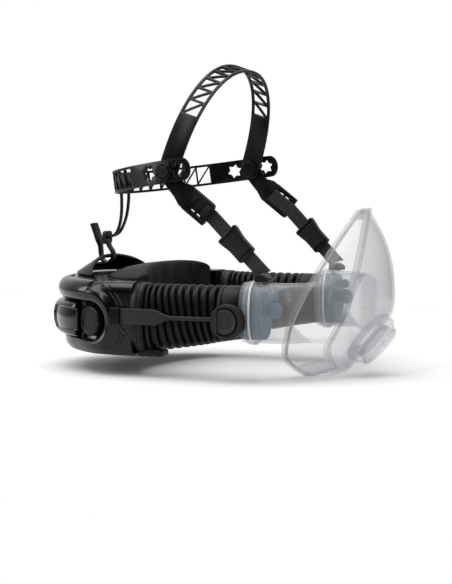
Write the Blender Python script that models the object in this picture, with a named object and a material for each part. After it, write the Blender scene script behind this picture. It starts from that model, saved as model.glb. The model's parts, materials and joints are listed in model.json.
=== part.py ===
"""Powered air respirator: a neck-worn blower unit, two side ducts, a half mask and a head harness.

Metres, +Z up. The wearer faces -Y and the wearer's right is -X. The origin is the middle of the
nape pad's contact face, where the unit rests against the back of the neck.
"""
import math

import bmesh
import bpy
from mathutils import Matrix, Vector

# ---- fits ---------------------------------------------------------------------------------------
GAP = 0.0003                 # between two pieces that touch
RUN_GAP = 0.0005             # around a piece that slides or turns

# ---- power unit: a horseshoe around the back of the neck ------------------------------------------
UNIT_HALF_WIDTH = 0.088
UNIT_DEPTH = 0.081           # outer wall's reach behind its own centre line
UNIT_CENTRE_Y = 0.005
UNIT_HALF_HEIGHT = 0.028
UNIT_END_ANGLE = math.radians(98)      # past 90 degrees the arms run straight to DUCT_ROOT_Y
NECK_HALF_WIDTH = 0.062      # inner wall
NECK_DEPTH = 0.026
NECK_CENTRE_Y = -0.010
WALL = 0.0022
LOWER_LOBE_INSET = 0.005
LOBE_ROUND = 0.008
LOBE_FADE = (math.radians(55), math.radians(88))
GROOVE_TOP = 0.012
GROOVE_BOTTOM = -0.017
GROOVE_FLOOR = 0.009         # the groove ends in a round pocket at each knob
POCKET_FLOOR = 0.0125
POCKET_TAIL = 0.0175
LIP_LENGTH = 0.0055
LIP_WALL = 0.0018

# ---- filter --------------------------------------------------------------------------------------
COVER_END = math.radians(61)
COVER_BULGE = 0.006
COVER_EDGE_SINK = 0.002
COVER_WALL = 0.0018
COVER_GAP = 0.0008
FILTER_HALF_WIDTH = 0.034
FILTER_HALF_HEIGHT = 0.0085
FILTER_DEPTH = 0.0175
FILTER_RIM = 0.0025
FILTER_SINK = 0.0085         # from the outer wall's reach to the filter's rear face
PLEATS = 12
SEAL_THICKNESS = 0.0021

# ---- blower ----------------------------------------------------------------------------------------
SCROLL_RADIUS = 0.0215
SCROLL_LENGTH = 0.0253
SCROLL_WALL = 0.0014
SCROLL_INLET = 0.0135
IMPELLER_RADIUS = 0.0185
IMPELLER_DEPTH = 0.014
BLADES = 9
SHAFT_RADIUS = 0.0015
MOTOR_RADIUS = 0.012
MOTOR_LENGTH = 0.0122

# ---- electrics --------------------------------------------------------------------------------------
CELL_RADIUS = 0.0092
CELL_LENGTH = 0.050
CELL_ANGLE = math.radians(58.5)
CELL_DEPTH = 0.0277          # from the outer wall to the cell's middle
CELL_SKEW = math.radians(6.65)          # turned in from the wall's own direction
BOARD = (0.030, 0.018, 0.0016)
BUTTON_RADIUS = 0.0050
WINDOW_SIZE = (0.012, 0.004)
SOCKET_RADIUS = 0.0042
SOCKET_BORE = 0.0026
PLUG_CAP_RADIUS = 0.006
SCREW_HEAD_RADIUS = 0.0028
SCREW_PLACE = (0.038, 0.067)

# ---- latch knobs and side straps -------------------------------------------------------------------
KNOB_RADIUS = 0.0114
KNOB_ANGLE = math.radians(73.5)
KNOB_TURN = math.radians(8)  # how much further rearward the knob faces than the wall around it
KNOB_SINK = 0.0025
KNOB_THICKNESS = 0.0055
KNOB_TRAVEL = 0.0015
KNOB_POST_RADIUS = 0.004
SLIDER = (0.0040, 0.0080, 0.0125)
SLIDER_Y = 0.0005
STRAP_HEIGHT = 0.012
STRAP_CORD = 0.0034
STRAP_THICKNESS = 0.0018
STRAP_Z = 0.0030

# ---- ducts ------------------------------------------------------------------------------------------
DUCT_ROOT_Y = -0.0102        # where the cuff meets the unit
CUFF_LENGTH = 0.0100
BELLOWS_LENGTH = 0.059
BELLOWS_RIBS = 10
RIB_DEPTH = 0.0026
DUCT_WALL = 0.0013
DUCT_HALF_WIDTH = (UNIT_HALF_WIDTH - NECK_HALF_WIDTH) / 2
DUCT_X_ROOT = (UNIT_HALF_WIDTH + NECK_HALF_WIDTH) / 2
CUFF_SWELL = 0.0006
DUCT_TOP_ROOT = 0.0270
DUCT_TOP_FRONT = 0.0272
DUCT_BOTTOM_ROOT = -0.0240
DUCT_BOTTOM_FRONT = -0.0115
RIB_SLANT = 0.0040
NECK_LENGTH = 0.0174
PLUG_LENGTH = 0.0150
FLAP_THICKNESS = 0.0010
CLIP_RADIUS = 0.0132
CLIP_THICKNESS = 0.0062
CLIP_Z = 0.0020
PAD_SIZE = (0.0185, 0.022)
PAD_TRAVEL = 0.0012

# ---- mask --------------------------------------------------------------------------------------------
MASK_WALL = 0.0018
MASK_TOP = 0.0815
MASK_BOTTOM = -0.043
MASK_REACH = 0.0845          # from the port to the front of the mask
RIM_REACH = 0.0145           # from the port forward to the rim at the chin
RIM_SLOPE = 0.051            # how much further forward the rim is at the nose
CHIN_TUCK = 0.018
BROW_FALL = 0.019            # how far the front falls back at the nose
MASK_CHIN_SLOPE = 0.79       # how fast the front falls back below the mouth
MASK_CHIN_START = 0.003
MASK_HALF_WIDTH = 0.0555
TUBE_STRAIGHT = 0.026        # straight run of the side tube behind the cheeks
TUBE_BEND = 0.042
TUBE_INSET = 0.042
PORT_HALF_WIDTH = DUCT_HALF_WIDTH + 0.0002
PORT_HALF_HEIGHT = 0.0222
CHEEK_GAP = 0.0029           # between the mask's rim and its side tube
DUCT_X_FRONT = MASK_HALF_WIDTH + CHEEK_GAP + PORT_HALF_WIDTH
BAND_WIDTH = 0.005
BAND_THICKNESS = 0.0012
BAND_SETBACK = 0.004
SEAL_WIDTH = 0.0095
FACE_SEAL_THICKNESS = 0.0030
VALVE_REACH = 0.0705          # from the port forward to the valve's middle
VALVE_Z = -0.0148
VALVE_AXIS = Vector((0.0, -0.775, -0.632)).normalized()
VALVE_RADIUS = 0.0215
VALVE_BORE = 0.0125
VALVE_LENGTH = 0.0088
FLAP_RADIUS = 0.0150
COVER_DISC = 0.0015

# ---- harness -----------------------------------------------------------------------------------------
PEG_Y = -0.035
PEG_Z = 0.110
PEG_RADIUS = 0.0030
PEG_CAP_RADIUS = 0.0062
STRAP_LAYER = 0.0020
CROWN_HALF_SPAN = 0.0735
CROWN_HEIGHT = 0.078
CROWN_LEAN = 0.32
CROWN_WIDTH = 0.016
CROWN_POWER = 2.2
BAND_HALF_SPAN = 0.0803
BAND_CENTRE_Y = -0.052
BAND_REACH = 0.0915
BAND_BACK_Z = 0.0995
BAND_SLOPE = 0.143
BAND_HEIGHT = 0.017
STAR_RADIUS = 0.0058
BUCKLE_LENGTH = 0.036
BUCKLE_WIDTH = 0.0185
BUCKLE_THICKNESS = 0.0030
BUCKLE_EYE_RADIUS = 0.0075
WEBBING_WIDTH = 0.011
WEBBING_THICKNESS = 0.0016
KEEPER_LENGTH = 0.024
KEEPER_WALL = 0.0015
HOOK = (0.0130, 0.0095, 0.0056)

# ---- nape ----------------------------------------------------------------------------------------------
PAD_HALF_WIDTH = 0.054
PAD_DEPTH = 0.0125
PAD_CENTRE_Y = -0.012
PAD_BOTTOM = -0.024
PAD_RISE = 0.0085
PAD_END = math.radians(74)
APRON = 0.026
BRIDGE_HALF_WIDTH = 0.051
BRIDGE_DEPTH = 0.047
BRIDGE_CENTRE_Y = 0.028
BRIDGE_END = math.radians(70)
BRIDGE_LEAN = 0.022
BRIDGE_RISE = 0.0135
BRIDGE_SHEET = 0.0020
BRIDGE_SLOT = (0.0256, 0.0095)
BRIDGE_CREST_BAR = 0.0038
NAPE_STRAP_WIDTH = 0.014
NAPE_STRAP_THICKNESS = 0.0017

X_AXIS = Vector((1, 0, 0))
Y_AXIS = Vector((0, 1, 0))
Z_AXIS = Vector((0, 0, 1))
SIDES = (("right", -1), ("left", 1))


# ---- materials --------------------------------------------------------------------------------------
MATERIALS = {
    "housing_black": ((0.016, 0.016, 0.020), 0.32, 0.0),
    "cover_gloss": ((0.010, 0.010, 0.013), 0.12, 0.0),
    "soft_black": ((0.020, 0.020, 0.024), 0.62, 0.0),
    "strap_black": ((0.022, 0.020, 0.026), 0.50, 0.0),
    "clear_silicone": ((0.86, 0.88, 0.90), 0.16, 0.0),
    "port_white": ((0.80, 0.84, 0.88), 0.30, 0.0),
    "flap_blue": ((0.10, 0.22, 0.36), 0.40, 0.0),
    "filter_white": ((0.82, 0.82, 0.80), 0.80, 0.0),
    "frame_grey": ((0.22, 0.23, 0.25), 0.50, 0.0),
    "cell_blue": ((0.05, 0.16, 0.33), 0.35, 0.0),
    "board_green": ((0.02, 0.16, 0.07), 0.45, 0.0),
    "steel": ((0.56, 0.57, 0.58), 0.28, 1.0),
    "window_smoke": ((0.05, 0.30, 0.12), 0.10, 0.0),
}


def material(name):
    found = bpy.data.materials.get(name)
    if found:
        return found
    colour, roughness, metallic = MATERIALS[name]
    made = bpy.data.materials.new(name)
    made.use_nodes = True
    surface = made.node_tree.nodes["Principled BSDF"]
    surface.inputs["Base Color"].default_value = (*colour, 1.0)
    surface.inputs["Roughness"].default_value = roughness
    surface.inputs["Metallic"].default_value = metallic
    made.diffuse_color = (*colour, 1.0)
    return made


# ---- mesh helpers -------------------------------------------------------------------------------------
def clear_scene():
    for thing in list(bpy.data.objects):
        bpy.data.objects.remove(thing, do_unlink=True)


def solid(name, bm, look, origin=(0, 0, 0), smooth=None):
    """Turn a bmesh in world space into a named object whose origin is at the given point."""
    bmesh.ops.remove_doubles(bm, verts=bm.verts, dist=1e-7)
    bmesh.ops.recalc_face_normals(bm, faces=bm.faces)
    origin = Vector(origin)
    bmesh.ops.translate(bm, verts=bm.verts, vec=-origin)
    mesh = bpy.data.meshes.new(name)
    bm.to_mesh(mesh)
    bm.free()
    mesh.materials.append(material(look))
    thing = bpy.data.objects.new(name, mesh)
    thing.location = origin
    bpy.context.scene.collection.objects.link(thing)
    if smooth is not None:
        mesh.shade_smooth()
        mesh.set_sharp_from_angle(angle=math.radians(smooth))
    return thing


def add_loft(bm, rings, ring_closed=True, path_closed=False, caps=True):
    """Skin a list of point rings, each with the same number of points."""
    rows = [[bm.verts.new(point) for point in ring] for ring in rings]
    pairs = list(zip(rows, rows[1:]))
    if path_closed:
        pairs.append((rows[-1], rows[0]))
    for here, there in pairs:
        count = len(here)
        for index in range(count if ring_closed else count - 1):
            after = (index + 1) % count
            bm.faces.new((here[index], here[after], there[after], there[index]))
    if caps and not path_closed:
        bm.faces.new(rows[0])
        bm.faces.new(list(reversed(rows[-1])))
    return bm


def loft(rings, **options):
    return add_loft(bmesh.new(), rings, **options)


def turned(profile, centre, axis, segments=18, ring=False):
    """Spin (radius, along) points about an axis; a ring profile closes on itself."""
    bm = bmesh.new()
    verts = [bm.verts.new((radius, 0, along)) for radius, along in profile]
    edges = [bm.edges.new(pair) for pair in zip(verts, verts[1:])]
    if ring:
        edges.append(bm.edges.new((verts[-1], verts[0])))
    bmesh.ops.spin(bm, geom=verts + edges, cent=(0, 0, 0), axis=(0, 0, 1), angle=math.tau,
                   steps=segments, use_merge=True)
    bmesh.ops.remove_doubles(bm, verts=bm.verts, dist=1e-6)
    turn = Z_AXIS.rotation_difference(Vector(axis)).to_matrix().to_4x4()
    bmesh.ops.transform(bm, matrix=Matrix.Translation(Vector(centre)) @ turn, verts=bm.verts)
    return bm


def add_box(bm, low, high, placing=None):
    low, high = Vector(low), Vector(high)
    middle = (low + high) / 2
    place = Matrix.Translation(middle) @ Matrix.Diagonal((*(high - low), 1))
    if placing is not None:
        place = placing @ place
    bmesh.ops.create_cube(bm, size=1.0, matrix=place)
    return bm


def box(low, high, placing=None):
    return add_box(bmesh.new(), low, high, placing)


def prism(outline, placing, low, high):
    """Extrude an (x, y) outline from low to high along the placing's Z."""
    return loft([[placing @ Vector((x, y, level)) for x, y in outline] for level in (low, high)])


def cutter(name, bm):
    thing = solid(name, bm, "steel")
    thing.hide_render = True
    thing.display_type = "WIRE"
    return thing


def combine(target, tool, operation="DIFFERENCE"):
    change = target.modifiers.new(tool.name, "BOOLEAN")
    change.operation = operation
    change.solver = "EXACT"
    change.object = tool


def spread(low, high, count):
    """Evenly spaced numbers, both ends included."""
    return [low + (high - low) * index / (count - 1) for index in range(count)]


def ease(value):
    """A smooth step from 0 to 1."""
    value = min(max(value, 0.0), 1.0)
    return value * value * (3 - 2 * value)


def strip(points, width_way, widths, thickness):
    """A flat strap along a route: the rectangle's width runs along width_way."""
    rings = []
    for index, point in enumerate(points):
        before = points[max(index - 1, 0)]
        after = points[min(index + 1, len(points) - 1)]
        run = (after - before).normalized()
        face = run.cross(width_way).normalized() * thickness / 2
        across = width_way * (widths[index] / 2)
        rings.append([point - across - face, point + across - face,
                      point + across + face, point - across + face])
    return loft(rings)


def smooth_route(points, steps):
    """Catmull-Rom points through a short list of points."""
    route = []
    last = len(points) - 1
    for index in range(last):
        a, b = points[max(index - 1, 0)], points[index]
        c, d = points[index + 1], points[min(index + 2, last)]
        for step in range(steps):
            t = step / steps
            route.append(0.5 * (2 * b + (c - a) * t + (2 * a - 5 * b + 4 * c - d) * t ** 2
                                + (3 * b - a - 3 * c + d) * t ** 3))
    route.append(points[-1])
    return route


def oval(half_x, half_y, count=16, power=2.6):
    points = []
    for index in range(count):
        angle = math.tau * index / count
        c, s = math.cos(angle), math.sin(angle)
        points.append((math.copysign(abs(c) ** (2 / power), c) * half_x,
                       math.copysign(abs(s) ** (2 / power), s) * half_y))
    return points


# ---- the power unit's own coordinates --------------------------------------------------------------
def horseshoe(angle, half_width, reach, centre_y):
    """A point on a half ellipse whose ends run straight forward, and its outward normal."""
    turn = max(-math.pi / 2, min(math.pi / 2, angle))
    x = half_width * math.sin(turn)
    y = centre_y + reach * math.cos(turn)
    beyond = (abs(angle) - math.pi / 2) / (UNIT_END_ANGLE - math.pi / 2)
    if beyond > 0:
        y += (DUCT_ROOT_Y - centre_y) * beyond
    normal = Vector((math.sin(turn) / half_width, math.cos(turn) / reach, 0)).normalized()
    return Vector((x, y, 0)), normal


def from_outer(angle, depth, height):
    point, normal = horseshoe(angle, UNIT_HALF_WIDTH, UNIT_DEPTH, UNIT_CENTRE_Y)
    return point - normal * depth + Z_AXIS * height


def from_inner(angle, depth, height):
    point, normal = horseshoe(angle, NECK_HALF_WIDTH, NECK_DEPTH, NECK_CENTRE_Y)
    return point + normal * depth + Z_AXIS * height


def unit_angles(end, step=math.radians(7)):
    return spread(-end, end, 2 * math.ceil(end / step) + 1)


def outer_section(angle):
    """The outer casing's wall: a top roll, the side groove, and a lower roll set further in."""
    top, bottom = UNIT_HALF_HEIGHT, -UNIT_HALF_HEIGHT
    grooved = 1.0 if abs(angle) < KNOB_ANGLE else 0.0
    floor = GROOVE_FLOOR * grooved
    fade = (abs(angle) - LOBE_FADE[0]) / (LOBE_FADE[1] - LOBE_FADE[0])
    lower = LOWER_LOBE_INSET * (1 - ease(fade))
    ledge = WALL + 2 * GAP
    r = LOBE_ROUND
    lip = r * 0.30 * grooved
    face = [(r, top), (r * 0.29, top - r * 0.29), (0, top - r), (lip * 0.4, GROOVE_TOP + r * 0.15),
            (lip, GROOVE_TOP), (floor, GROOVE_TOP), (floor, GROOVE_BOTTOM),
            (lower + lip, GROOVE_BOTTOM), (lower, GROOVE_BOTTOM - r * 0.3),
            (lower + r * 0.29, bottom + r * 0.29), (lower + r, bottom)]
    back = [(lower + r, bottom + WALL), (lower + r * 0.29 + WALL * 0.7, bottom + r * 0.29 + WALL * 0.7),
            (max(floor, lower) + WALL, GROOVE_BOTTOM - WALL), (floor + WALL, GROOVE_TOP + WALL),
            (WALL + r * 0.05, top - r), (r, top - WALL)]
    points = [from_inner(angle, ledge, top)]
    points += [from_outer(angle, depth, height) for depth, height in face]
    points += [from_inner(angle, ledge, bottom), from_inner(angle, ledge, bottom + WALL)]
    points += [from_outer(angle, depth, height) for depth, height in back]
    points.append(from_inner(angle, ledge, top - WALL))
    return points


def casing_angles():
    """Stations along the horseshoe, doubled where the groove stops."""
    step = math.radians(0.35)
    angles = set(unit_angles(UNIT_END_ANGLE))
    for edge in (-KNOB_ANGLE, KNOB_ANGLE):
        angles = {angle for angle in angles if abs(angle - edge) > math.radians(1.5)}
        angles.update((edge - step, edge + step))
    return sorted(angles)


def knob_frame(side):
    """The knob's place: X forward along the wall, Y up, Z outward, origin where Z meets the wall."""
    angle = KNOB_ANGLE * side
    outward = from_outer(angle, -1.0, 0) - from_outer(angle, 0, 0)
    outward = Matrix.Rotation(KNOB_TURN * side, 3, "Z") @ outward
    forward = Z_AXIS.cross(outward) * -side
    placing = Matrix((forward, Z_AXIS, outward)).transposed().to_4x4()
    return Matrix.Translation(from_outer(angle, 0, filter_height())) @ placing


def cut_knob_pockets(outer):
    radius = (GROOVE_TOP - GROOVE_BOTTOM) / 2
    for name, side in SIDES:
        placing = knob_frame(side)
        cups = []
        for reach, tail in ((radius + WALL, 0.0), (radius, POCKET_TAIL)):
            outline = [(-tail, -reach)] if tail else []
            outline += [(reach * math.cos(angle), reach * math.sin(angle))
                        for angle in spread(-math.pi / 2, math.pi / 2, 12)]
            outline += [(-tail, reach)] if tail else [(-reach * 0.5, reach), (-reach * 0.5, -reach)]
            cups.append(outline)
        solid_cup, hollow = cups
        combine(outer, cutter("pocket_wall_" + name, prism(
            solid_cup, placing, -POCKET_FLOOR - WALL, -WALL * 1.2)), "UNION")
        combine(outer, cutter("pocket_" + name, prism(hollow, placing, -POCKET_FLOOR, 0.010)))


def build_casings():
    outer = solid("outer_casing", loft([outer_section(angle) for angle in casing_angles()]),
                  "housing_black", smooth=38)

    half = UNIT_HALF_HEIGHT
    shelf = half - WALL - GAP
    cut_knob_pockets(outer)
    inner_rings = []
    for angle in unit_angles(UNIT_END_ANGLE):
        reach = WALL + LIP_LENGTH
        section = [(0, -half), (0, half), (WALL, half), (WALL, shelf), (reach, shelf),
                   (reach, shelf - LIP_WALL), (WALL, shelf - LIP_WALL), (WALL, LIP_WALL - shelf),
                   (reach, LIP_WALL - shelf), (reach, -shelf), (WALL, -shelf), (WALL, -half)]
        inner_rings.append([from_inner(angle, depth, height) for depth, height in section])
    solid("inner_casing", loft(inner_rings), "housing_black", smooth=38)

    clear = FILTER_HALF_WIDTH + RUN_GAP
    middle = filter_height()
    tall = FILTER_HALF_HEIGHT + RUN_GAP
    rear = UNIT_CENTRE_Y + UNIT_DEPTH
    combine(outer, cutter("filter_opening", box((-clear, rear - 0.030, middle - tall),
                                                (clear, rear + 0.010, middle + tall))))
    button = button_place()
    window = window_place()
    socket = socket_place()
    top = UNIT_HALF_HEIGHT
    hole = BUTTON_RADIUS + RUN_GAP
    combine(outer, cutter("button_hole", turned([(0, top - 0.006), (hole, top - 0.006),
                                                 (hole, top + 0.004), (0, top + 0.004)],
                                                button, Z_AXIS)))
    slot_x = WINDOW_SIZE[0] / 2 + GAP
    slot_y = WINDOW_SIZE[1] / 2 + GAP
    combine(outer, cutter("window_hole", box((-slot_x, -slot_y, top - 0.006),
                                             (slot_x, slot_y, top + 0.004), window)))
    hole = SOCKET_RADIUS + GAP
    combine(outer, cutter("socket_hole", turned([(0, -top - 0.004), (hole, -top - 0.004),
                                                 (hole, -top + 0.006), (0, -top + 0.006)],
                                                socket, Z_AXIS)))
    shank = SCREW_HEAD_RADIUS * 0.45 + GAP
    for name, side in SIDES:
        place = Vector((side * SCREW_PLACE[0], SCREW_PLACE[1], 0))
        combine(outer, cutter("screw_hole_" + name,
                              turned([(0, top - 0.006), (shank, top - 0.006),
                                      (shank, top + 0.004), (0, top + 0.004)], place, Z_AXIS, 8)))
        head, neck = SCREW_HEAD_RADIUS, SCREW_HEAD_RADIUS * 0.45
        solid("casing_screw_" + name,
              turned([(0, top - 0.008), (neck, top - 0.008), (neck, top + GAP), (head, top + GAP),
                      (head, top + 0.0010), (head * 0.6, top + 0.0015), (0, top + 0.0015)],
                     place, Z_AXIS, 8), "steel", origin=place, smooth=30)


def filter_height():
    return (GROOVE_TOP + GROOVE_BOTTOM) / 2


def cell_place(side=1):
    return from_outer(side * CELL_ANGLE, CELL_DEPTH, filter_height())


def cell_way(side=1):
    _, normal = horseshoe(side * CELL_ANGLE, UNIT_HALF_WIDTH, UNIT_DEPTH, UNIT_CENTRE_Y)
    return Matrix.Rotation(-side * CELL_SKEW, 3, "Z") @ (normal.cross(Z_AXIS) * side)


def button_place():
    place = cell_place()
    return Vector((place.x, place.y, 0))


def window_place():
    way = cell_way()
    middle = button_place() + way * 0.017
    turn = Matrix.Rotation(math.atan2(way.y, way.x), 4, "Z")
    return Matrix.Translation(middle) @ turn


def socket_place():
    return button_place() + cell_way() * 0.015


# ---- filter -----------------------------------------------------------------------------------------
def cover_depth(angle):
    swell = math.cos(angle / COVER_END * math.pi / 2) ** 0.7 if abs(angle) < COVER_END else 0.0
    return COVER_EDGE_SINK - (COVER_BULGE + COVER_EDGE_SINK) * swell


def build_filter():
    top, bottom = GROOVE_TOP - COVER_GAP, GROOVE_BOTTOM + COVER_GAP
    corner = 0.003
    rings = []
    for angle in unit_angles(COVER_END):
        face = cover_depth(angle)
        foot = GROOVE_FLOOR - COVER_GAP
        inside = face + COVER_WALL
        section = [(foot, top), (face + corner, top), (face + corner * 0.3, top - corner * 0.3),
                   (face, top - corner), (face, bottom + corner),
                   (face + corner * 0.3, bottom + corner * 0.3), (face + corner, bottom),
                   (foot, bottom), (foot, bottom + COVER_WALL),
                   (inside + corner * 0.5, bottom + COVER_WALL), (inside, bottom + corner),
                   (inside, top - corner), (inside + corner * 0.5, top - COVER_WALL),
                   (foot, top - COVER_WALL)]
        rings.append([from_outer(angle, depth, height) for depth, height in section])
    solid("filter_cover", loft(rings), "cover_gloss", smooth=38)

    rear = UNIT_CENTRE_Y + UNIT_DEPTH - FILTER_SINK
    front = rear - FILTER_DEPTH
    middle = filter_height()
    wide, tall, rim = FILTER_HALF_WIDTH, FILTER_HALF_HEIGHT, FILTER_RIM
    solid("filter_frame", frame_ring(wide, tall, rim, middle, front, rear), "frame_grey")
    seal_rear = front - GAP
    solid("filter_seal", frame_ring(wide, tall, rim, middle, seal_rear - SEAL_THICKNESS, seal_rear),
          "soft_black")

    fit_x = wide - rim - GAP
    fit_z = tall - rim - GAP
    paper = 0.0012
    near, far = front + 0.002, rear - 0.002 - paper
    zigzag = []
    for index in range(2 * PLEATS + 1):
        zigzag.append((-fit_x + 2 * fit_x * index / (2 * PLEATS), near if index % 2 else far))
    outline = zigzag + [(x, y + paper) for x, y in reversed(zigzag)]
    solid("filter_media", loft([[Vector((x, y, level)) for x, y in outline]
                                for level in (middle - fit_z, middle + fit_z)]), "filter_white")


def frame_ring(wide, tall, rim, middle, front, rear):
    """A rectangular ring across Y, open along Y."""
    rings = []
    for x_sign, z_sign in ((1, 1), (-1, 1), (-1, -1), (1, -1)):
        out_x, out_z = x_sign * wide, middle + z_sign * tall
        in_x, in_z = x_sign * (wide - rim), middle + z_sign * (tall - rim)
        rings.append([Vector((out_x, front, out_z)), Vector((out_x, rear, out_z)),
                      Vector((in_x, rear, in_z)), Vector((in_x, front, in_z))])
    return loft(rings, path_closed=True)


# ---- blower -------------------------------------------------------------------------------------------
def build_blower():
    rear = UNIT_CENTRE_Y + UNIT_DEPTH - FILTER_SINK - FILTER_DEPTH - SEAL_THICKNESS - 2 * GAP
    front = rear - SCROLL_LENGTH
    axis_point = Vector((0, 0, filter_height()))
    wall = SCROLL_WALL
    scroll = solid("blower_scroll", turned(
        [(SHAFT_RADIUS + 0.002, front), (SCROLL_RADIUS, front), (SCROLL_RADIUS, rear),
         (SCROLL_INLET, rear), (SCROLL_INLET, rear - wall), (SCROLL_RADIUS - wall, rear - wall),
         (SCROLL_RADIUS - wall, front + wall), (SHAFT_RADIUS + 0.002, front + wall)],
        axis_point, Y_AXIS, 22, ring=True), "frame_grey", smooth=38)
    for name, side in SIDES:
        outlet = box((min(side * 0.010, side * 0.030), front + 0.005, filter_height() - 0.007),
                     (max(side * 0.010, side * 0.030), rear - 0.006, filter_height() + 0.007))
        combine(scroll, cutter("scroll_outlet_" + name, outlet))

    motor_rear = front - GAP
    motor_front = motor_rear - MOTOR_LENGTH
    bore = SHAFT_RADIUS + RUN_GAP
    radius = MOTOR_RADIUS
    solid("blower_motor", turned(
        [(0, motor_front), (radius * 0.8, motor_front), (radius, motor_front + 0.0015),
         (radius, motor_rear - 0.001), (radius - 0.001, motor_rear), (bore, motor_rear),
         (bore, motor_front + 0.003), (0, motor_front + 0.003)], axis_point, Y_AXIS),
        "steel", smooth=35)

    back = front + wall + 0.0022
    eye = back + IMPELLER_DEPTH
    shaft_front = motor_front + 0.004
    solid("motor_shaft", turned([(0, shaft_front), (SHAFT_RADIUS, shaft_front),
                                 (SHAFT_RADIUS, eye + 0.001), (0, eye + 0.001)],
                                axis_point, Y_AXIS, 12), "steel", origin=axis_point, smooth=35)

    hub = 0.0050
    bore = SHAFT_RADIUS + GAP
    disc = 0.0012
    impeller = solid("impeller", turned(
        [(bore, back), (IMPELLER_RADIUS, back), (IMPELLER_RADIUS, back + disc), (hub, back + disc),
         (hub * 0.7, eye), (bore, eye)], axis_point, Y_AXIS, 24, ring=True), "frame_grey",
        origin=axis_point, smooth=35)
    placing = Matrix.Translation(axis_point) @ Matrix.Rotation(-math.pi / 2, 4, "X")
    blades = bmesh.new()
    for index in range(BLADES):
        turn = math.tau * index / BLADES
        line = []
        for share in (0.0, 0.5, 1.0):
            radius = hub * 0.85 + (IMPELLER_RADIUS - 0.0006 - hub * 0.85) * share
            line.append((radius, turn - 0.75 * share ** 1.2))
        outline = []
        for sign, run in ((-1, line), (1, list(reversed(line)))):
            for radius, angle in run:
                shift = sign * 0.0005 / radius
                outline.append((radius * math.cos(angle + shift), radius * math.sin(angle + shift)))
        add_loft(blades, [[placing @ Vector((x, y, level)) for x, y in outline]
                          for level in (back + disc * 0.5, eye - 0.003)])
    combine(impeller, cutter("impeller_blades", blades), "UNION")


# ---- electrics ---------------------------------------------------------------------------------------
def build_electrics():
    for name, side in SIDES:
        half, radius = CELL_LENGTH / 2, CELL_RADIUS
        solid("battery_cell_" + name, turned(
            [(0, -half), (radius - 0.0006, -half), (radius, 0.0006 - half), (radius, half - 0.0030),
             (radius - 0.0008, half - 0.0024), (radius - 0.0008, half - 0.0018),
             (radius * 0.35, half - 0.0018), (radius * 0.30, half), (0, half)],
            cell_place(side), cell_way(side)), "cell_blue", smooth=35)

    top = UNIT_HALF_HEIGHT
    board_z = filter_height() + CELL_RADIUS + 0.0055
    way = cell_way()
    turn = Matrix.Rotation(math.atan2(way.y, way.x), 4, "Z")
    placing = Matrix.Translation(button_place() + Z_AXIS * board_z) @ turn
    long, wide, thick = BOARD
    board = solid("control_board", box((-long / 2, -wide / 2, 0), (long / 2, wide / 2, thick),
                                       placing), "board_green")
    chips = bmesh.new()
    for x, y, size, tall in ((-0.010, 0.003, 0.0060, 0.0012), (0.010, -0.003, 0.0044, 0.0016),
                             (0.004, 0.005, 0.0030, 0.0010), (-0.009, -0.0055, 0.0030, 0.0020)):
        add_box(chips, (x - size / 2, y - size / 2, thick * 0.5),
                (x + size / 2, y + size / 2, thick + tall), placing)
    combine(board, cutter("board_chips", chips), "UNION")

    flange = top - WALL - RUN_GAP
    radius = BUTTON_RADIUS
    place = button_place()
    solid("power_button", turned(
        [(0, flange - 0.0036), (radius * 0.5, flange - 0.0036), (radius * 0.5, flange - 0.0014),
         (radius + 0.0015, flange - 0.0014), (radius + 0.0015, flange), (radius, flange),
         (radius, top + 0.0006), (radius - 0.0006, top + 0.0012), (0, top + 0.0009)],
        place, Z_AXIS), "soft_black", origin=place + Z_AXIS * top, smooth=35)

    long, wide = WINDOW_SIZE
    solid("status_window", box((-long / 2, -wide / 2, top - WALL), (long / 2, wide / 2, top + 0.0003),
                               window_place()), "window_smoke")

    place = socket_place()
    radius, bore = SOCKET_RADIUS, SOCKET_BORE
    solid("charge_socket", turned(
        [(0, -top + 0.0085), (bore, -top + 0.0085), (bore, -top), (radius, -top),
         (radius, WALL + GAP - top), (radius + 0.0012, WALL + GAP - top),
         (radius + 0.0012, WALL + GAP - top + 0.0015), (radius, WALL + GAP - top + 0.0015),
         (radius, -top + 0.010), (0, -top + 0.010)], place, Z_AXIS), "frame_grey", smooth=35)
    stem = bore - GAP
    cap = PLUG_CAP_RADIUS
    solid("charge_plug", turned(
        [(0, -top + 0.0060), (stem * 0.8, -top + 0.0060), (stem, -top + 0.0054), (stem, -top - GAP),
         (cap, -top - GAP), (cap, -top - GAP - 0.0007), (cap - 0.0007, -top - GAP - 0.0013),
         (0, -top - GAP - 0.0013)], place, Z_AXIS), "soft_black", origin=place - Z_AXIS * top,
        smooth=35)


# ---- knobs, sliders and side straps ----------------------------------------------------------------
def duct_share(y):
    """0 where the bellows start and 1 at the mask's port."""
    start = DUCT_ROOT_Y - CUFF_LENGTH
    return (start - y) / (start - port_y())


def port_y():
    return DUCT_ROOT_Y - CUFF_LENGTH - BELLOWS_LENGTH - NECK_LENGTH - 3 * GAP


def duct_middle(y):
    """Centre of the duct at a distance forward, on the +X side, with its half height."""
    share = duct_share(y)
    curve = max(share, 0.0)
    x = DUCT_X_ROOT + (DUCT_X_FRONT - DUCT_X_ROOT) * curve
    top = DUCT_TOP_ROOT + (DUCT_TOP_FRONT - DUCT_TOP_ROOT) * curve
    bottom = DUCT_BOTTOM_ROOT + (DUCT_BOTTOM_FRONT - DUCT_BOTTOM_ROOT) * curve
    return x, (top + bottom) / 2, (top - bottom) / 2


def duct_ring(y, side, grow=0.0, half_width=DUCT_HALF_WIDTH, slant=0.0, height=None):
    x, z, half_height = duct_middle(y)
    if height is not None:
        half_height = height
    ring = []
    for across, up in oval(half_width + grow, half_height + grow):
        lean = slant * up / half_height
        ring.append(Vector((side * (x + across), y + lean, z + up)))
    return ring


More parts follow.
